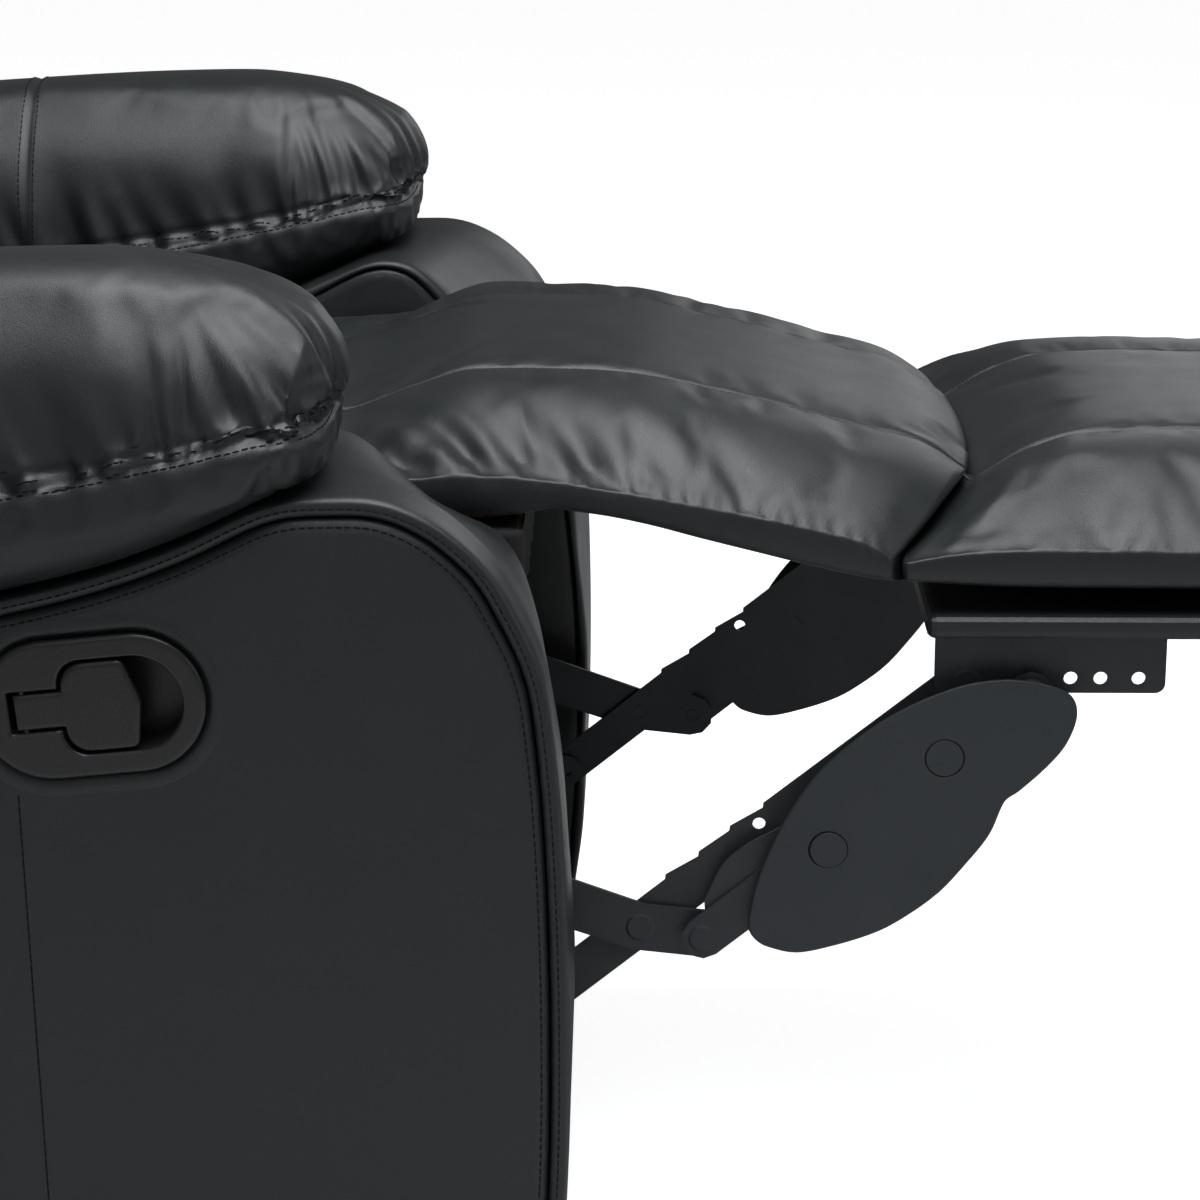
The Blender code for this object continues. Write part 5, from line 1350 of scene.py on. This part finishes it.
def wrap_path(half, front, rear, corner, lift):
    """A path round the front of a frame, from its left rear to its right rear."""
    left_turn = rounded_arc((half - corner, front + corner), corner + lift, 0, -math.pi / 2)
    right_turn = rounded_arc((corner - half, front + corner), corner + lift, -math.pi / 2, -math.pi)
    return evenly(np.array([(half + lift, rear), *left_turn, *right_turn, (-half - lift, rear)]), STRIP_STEP)


def make_back_lining():
    """The cover drawn over the back's frame, under the pillows."""
    path = wrap_path(BACK_HALF, -LINING_FRONT, -LINING_REAR, LINING_CORNER, LINING_LIFT)
    piece = hung_strip("back_lining", path, LINING_TOP, LINING_LOW, 0.0005, 53, LINING_SHEET, 40)
    x, y, z = coordinates(piece).T
    set_coordinates(piece, on_back(x, -y, z))
    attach(piece, "backrest")


def make_seat_lining():
    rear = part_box("seat_side_rail_r")[1].y
    front = RAIL_BOX_LOW.y
    half = RAIL_BOX_HIGH.x
    path = wrap_path(half, front, rear, BORDER_CORNER, SKIN_LIFT)
    border = hung_strip("seat_border", path, BORDER_TOP, BORDER_BOTTOM, 0.0008, 51)
    # The border is black lining cloth, darker and duller than the leather: partly the real cloth there, partly painted
    # shade for the shadowed gap between the arms and the seat
    border.data.materials[0] = CLOTH
    curtain_y = ARM_FRONT - CURTAIN_PLACE
    path = np.array([(CURTAIN_HALF, curtain_y), (-CURTAIN_HALF, curtain_y)])
    path = resampled(path, np.linspace(0, 1, 90))
    curtain = hung_strip("front_curtain", path, RAIL_BOX_LOW.z - SKIN_LIFT, CURTAIN_BOTTOM, 0.0030, 52)
    curtain.data.materials[0] = CLOTH
    inset_half = half - DECK_INSET
    across = np.linspace(-inset_half, inset_half, DECK_COUNTS[0])
    rings = []
    for y in np.linspace(front + DECK_INSET, rear, DECK_COUNTS[1]):
        waves = np.sin(across * DECK_RIPPLES[0] + y * DECK_RIPPLES[1]) * np.sin(across * DECK_RIPPLES[1] - y * DECK_RIPPLES[0])
        top = RAIL_BOX_HIGH.z + DECK_TOP + DECK_WAVE * waves
        upper = np.column_stack([across, np.full(len(across), y), top])
        rings.append(np.concatenate([upper, (upper - np.array([0, 0, DECK_SHEET]))[::-1]]))
    deck = ring_piece("seat_deck", rings, CLOTH)
    for piece in (border, curtain, deck):
        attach(piece, "base")


# Seat pads
def pad_section(under, welt, seam, sag):
    """One section across a pad as (x share, z), round from the middle of the top."""
    inner = np.concatenate([np.linspace(0, PAD_SEAM_share - 0.02, 20), [PAD_SEAM_share - 0.008, PAD_SEAM_share]])
    outer = np.concatenate([[PAD_SEAM_share + 0.008], np.linspace(PAD_SEAM_share + 0.02, 0.985, 22)])
    crown = PAD_CROWN * np.sqrt(np.clip(1 - (inner / PAD_SEAM_share) ** 2, 0, 1))
    fall = (outer - PAD_SEAM_share) / (1 - PAD_SEAM_share)
    side_top = welt + (seam - welt) * (1 - fall ** PAD_FALL_POWER) + 0.004 * np.sin(fall * math.pi)
    depth = welt - under
    edge_x = np.array([0.997, 1.0, 1.002, 1.003, 1.001, 0.994, 0.980, 0.955])
    edge_z = under + depth * np.array([1.06, 1.0, 0.88, 0.62, 0.36, 0.15, 0.04, 0.0])
    lower = np.linspace(0.93, 0.0, 24)
    lower_z = under - sag * (1 - lower ** 2)
    xs = np.concatenate([inner, outer, edge_x, lower])
    zs = np.concatenate([seam + crown, side_top, edge_z, lower_z])
    left = slice(len(xs) - 2, 0, -1)
    return np.concatenate([xs, -xs[left]]), np.concatenate([zs, zs[left]])


def levels(shares):
    return PAD_LOW + PAD_RISE * shares


def cut_plane(z):
    return CUT_PLACE - (z - CUT_HEIGHT) * CUT_SLANT


def lobe(x_share):
    return CHAISE_EDGE + (CHAISE_TIP - CHAISE_EDGE) * (1 - np.clip(np.abs(x_share), 0, 1) ** LOBE_POWER)


def section_ring(place, under, welt, seam, sag=0.0, narrow=1.0):
    """One ring of a pad; place(x share, z) tells how far forward it stands there."""
    x, z = pad_section(under, welt, seam, sag)
    return to_world(place(x, z), z, x * (PAD_HALF - 0.001) * narrow)


def seat_rows(row_shares, count):
    places = np.linspace(0, 1, count)
    return places, levels(through(sorted(row_shares), places))


def make_seat():
    """Seat cushion and chaise pad: one skin, parted where the chaise folds."""
    places, rows = seat_rows(CUSHION_ROW_shares + ((0.0, 0.448, 0.623, 1.0),), 84)
    rings = []
    for place, (under, welt, seam) in zip(places[::-1], rows[::-1]):
        straight = CUT_PLACE - CUSHION_LENGTH * place
        bend = np.clip(1 - place / 0.15, 0, 1)
        rings.append(section_ring(
            lambda x, z: straight + bend * (cut_plane(z) - CUT_PLACE) * (z > 0), under, welt, seam,
        ))
    cut_ring = len(rings) - 1
    places, rows = seat_rows(CHAISE_ROW_shares, 42)
    for place, (under, welt, seam) in list(zip(places, rows))[1:]:
        slanted = (1 - place) ** 3
        rings.append(section_ring(
            lambda x, z: CUT_PLACE + (lobe(x) * place ** 2 + CHAISE_EDGE * (1 - place ** 2) - CUT_PLACE) * place
            + slanted * (cut_plane(z) - CUT_PLACE), under, welt, seam,
        ))
    return rings, cut_ring


main_rings, cut_ring = make_seat()


def pad_places(points):
    """Place along a pad and distance in from its nearer edge welt, and that edge's side."""
    u = ARM_FRONT - points[:, 1]
    inward = PAD_HALF - np.abs(points[:, 0])
    return u, inward, np.where(points[:, 0] < 0, RIGHT, LEFT)


def make_seat_and_chaise():
    rings = np.array(main_rings)
    skin = ring_piece("seat_skin", rings, cap_steps=3)
    points = coordinates(skin)
    u, inward, side = pad_places(points)
    below = points[:, 2] < np.interp(u, (-0.53, -0.142, -0.055, 0.072, 0.1886), (0.474, 0.485, 0.488, 0.470, 0.440))
    seam = np.abs(np.abs(points[:, 0]) - PAD_HALF * PAD_SEAM_share) < 0.0025
    edge = inward < 0.002
    held = np.clip(below.astype(float) + seam + edge, 0, 1)
    stuff(skin, held, pressure=2.0, slack=0.012, cap=0.0025)
    refine(skin)
    points = coordinates(skin)
    u, inward, side = pad_places(points)
    normal = normals(skin)
    upward = normal[:, 2] > 0.05
    rng = np.random.default_rng(21)
    depths = np.zeros(len(points))
    for facing in (RIGHT, LEFT):
        h = np.where((side == facing) & upward, inward, -1.0)
        for low, high, pitch, depth, width, length, lean, start in CHAISE_FOLDS:
            places = spread(rng, low, high, pitch, 0.25)
            depths += fold_depths(rng, u, h, places, depth, width, length, lean, start, 0.05)
    depths += groove(np.abs(points[:, 0]) - PAD_HALF * PAD_SEAM_share, 0.0014, 0.0012) * upward
    press(skin, depths)
    return skin


def split_skin(skin, name, keep_front):
    """One part of the seat's skin, on its side of the slanted cut, closed at the cut."""
    piece = skin.copy()
    piece.data = skin.data.copy()
    piece.name = name
    bpy.context.scene.collection.objects.link(piece)
    shape = bmesh.new()
    shape.from_mesh(piece.data)
    place = to_world(np.array(CUT_PLACE), np.array(CUT_HEIGHT), np.array(0.0))
    direction = Vector((0, -1, CUT_SLANT)).normalized()
    result = bmesh.ops.bisect_plane(
        shape, geom=[*shape.verts, *shape.edges, *shape.faces], plane_co=Vector(place), plane_no=direction,
        clear_outer=not keep_front, clear_inner=keep_front,
    )
    cut_edges = [item for item in result["geom_cut"] if isinstance(item, bmesh.types.BMEdge)]
    copied = bmesh.ops.duplicate(shape, geom=cut_edges)["geom"]
    edges = [item for item in copied if isinstance(item, bmesh.types.BMEdge)]
    filled = bmesh.ops.triangle_fill(shape, use_beauty=True, edges=edges)
    for item in filled["geom"]:
        if isinstance(item, bmesh.types.BMFace):
            item.smooth = False
    shape.to_mesh(piece.data)
    shape.free()
    return piece


def seam_paths(rings, first, last):
    """Stitch lines beside the two long seams, over some rings."""
    rings = np.asarray(rings)[first:last]
    half = (PAD_HALF - 0.001)
    target = half * PAD_SEAM_share
    paths = []
    count = rings.shape[1]
    for side in (RIGHT, LEFT):
        index = int(np.argmin(np.abs(rings[0, :, 0] - side * target) + 10 * (rings[0, :, 2] < rings[0, :, 2].mean())))
        line = rings[:, index].copy()
        line[:, 0] += side * 0.0012
        paths.append(line)
    return paths


def make_footrest_pad():
    places = np.concatenate([np.linspace(0, 0.90, 58), 0.90 + 0.10 * np.sin(np.linspace(0, 1, 12)[1:] * math.pi / 2)])
    rows = levels(through(FOOT_PAD_ROW_shares, places))
    rings = []
    for place, (under, welt, seam) in zip(places, rows):
        near_toe = np.clip((place - TOE_ROUND_share) / (1 - TOE_ROUND_share), 0, 1)
        narrow = 1 - TOE_NARROW_share * (1 - math.sqrt(1 - near_toe ** 2))
        sag = (under - BOARD_TOP - 0.0008) * min(1.0, 4 * min(place, 1 - place))
        rings.append(section_ring(
            lambda x, z: lobe(x) + PAD_GAP + (FOOT_PAD_TOE - PAD_GAP - lobe(x)) * place,
            under, welt, seam, max(sag, 0.0), narrow,
        ))
    piece = ring_piece("footrest_cushion", rings, cap_steps=4)
    points = coordinates(piece)
    u, inward, side = pad_places(points)
    low = points[:, 2] < np.interp(u, (CHAISE_EDGE, 0.26, 0.5, FOOT_PAD_TOE), (0.440, 0.448, 0.446, 0.442))
    seam = np.abs(np.abs(points[:, 0]) - PAD_HALF * PAD_SEAM_share) < 0.0025
    edge = inward < 0.002
    stuff(piece, np.clip(low.astype(float) + seam + edge, 0, 1), pressure=2.0, slack=0.012, cap=0.0025)
    refine(piece)
    points = coordinates(piece)
    u, inward, side = pad_places(points)
    upward = normals(piece)[:, 2] > 0.05
    rng = np.random.default_rng(33)
    depths = np.zeros(len(points))
    for facing in (RIGHT, LEFT):
        h = np.where((side == facing) & upward, inward, -1.0)
        for low, high, pitch, depth, width, length, lean, start in FOOT_FOLDS:
            places = spread(rng, low, high, pitch, 0.25)
            depths += fold_depths(rng, u, h, places, depth, width, length, lean, start, 0.05)
    depths += groove(np.abs(points[:, 0]) - PAD_HALF * PAD_SEAM_share, 0.0014, 0.0012) * upward
    press(piece, depths)
    add_stitches(piece, seam_paths(rings, 2, len(rings) - 4))
    finish_cushion(piece, "footrest", "footrest_pad")


# Arms
for arm_side, arm_mark in SIDES:
    make_arm_pillow(arm_side, arm_mark)
    make_arm_covers(arm_side, arm_mark)

    make_guard(arm_side, arm_mark)
    make_link_web(arm_side, arm_mark)

make_handle()
make_back()
make_back_lining()
make_seat_lining()
seat_skin = make_seat_and_chaise()
cushion = split_skin(seat_skin, "seat_cushion_cover", False)
chaise = split_skin(seat_skin, "chaise_cover", True)
bpy.data.objects.remove(seat_skin)
add_stitches(cushion, seam_paths(main_rings, 4, cut_ring))
add_stitches(chaise, seam_paths(main_rings, cut_ring, len(main_rings) - 1))
finish_cushion(cushion, "base", "seat_cushion")
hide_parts("chaise_pad")
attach(chaise, "base")
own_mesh(chaise)
make_footrest_pad()


# Light, floor and camera
def area_light(name, place, target, size, watts, tint=(0.94, 0.985, 1.0)):
    data = bpy.data.lights.new(name, "AREA")
    data.shape = "RECTANGLE"
    data.size, data.size_y = size
    data.energy = watts
    data.color = tint
    lamp = bpy.data.objects.new(name, data)
    bpy.context.scene.collection.objects.link(lamp)
    lamp.location = place
    lamp.visible_camera = False
    lamp.rotation_euler = (Vector(target) - Vector(place)).to_track_quat("-Z", "Y").to_euler()
    return lamp


def make_floor():
    data = bpy.data.meshes.new("floor")
    half = 12.0
    data.from_pydata([(-half, -half, 0), (half, -half, 0), (half, half, 0), (-half, half, 0)], [], [(0, 1, 2, 3)])
    floor = bpy.data.objects.new("floor", data)
    bpy.context.scene.collection.objects.link(floor)
    made, tree, shader = shader_nodes("pale_floor", (0.62, 0.62, 0.62), 0.65)
    seen = tree.nodes.new("ShaderNodeLightPath").outputs["Is Camera Ray"]
    shader.inputs["Emission Color"].default_value = (1.0, 1.0, 1.0, 1.0)
    tree.links.new(ranged(tree, seen, 0.0, 0.89), shader.inputs["Emission Strength"])
    data.materials.append(made)


def make_world():
    world = bpy.data.worlds.new("studio")
    bpy.context.scene.world = world
    world.use_nodes = True
    tree = world.node_tree
    background = tree.nodes["Background"]
    background.inputs["Color"].default_value = (1.0, 1.0, 1.0, 1.0)
    seen = tree.nodes.new("ShaderNodeLightPath").outputs["Is Camera Ray"]
    tree.links.new(ranged(tree, seen, 0.11, 1.0), background.inputs["Strength"])


def make_camera():
    data = bpy.data.cameras.new("camera")
    data.sensor_fit = "HORIZONTAL"
    data.sensor_width = SENSOR
    data.lens = SENSOR * FOCAL_WIDTHS
    data.clip_start = 0.05
    camera = bpy.data.objects.new("camera", data)
    bpy.context.scene.collection.objects.link(camera)
    camera.location = to_world(CAMERA_AHEAD, CAMERA_HEIGHT, -CAMERA_SIDE)
    camera.rotation_euler = (math.pi / 2 - CAMERA_PITCH, 0, -math.pi / 2 + CAMERA_YAW)
    bpy.context.scene.camera = camera


make_floor()
make_world()
make_camera()
area_light("overhead", (-0.45, -0.2, 2.6), (0.0, 0.0, 0.4), (1.8, 2.0), 72, (0.955, 0.975, 1.0))
area_light("near_side", (-2.9, 0.4, 1.5), (0.0, 0.0, 0.4), (1.6, 1.6), 5)
area_light("front", (-0.6, -3.0, 1.5), (0.0, 0.0, 0.4), (1.8, 1.4), 9)
area_light("far_side", (2.6, -1.3, 1.35), (0.0, -0.4, 0.45), (1.3, 1.2), 7, (0.94, 0.965, 1.0))
bpy.context.scene.view_settings.view_transform = "Standard"
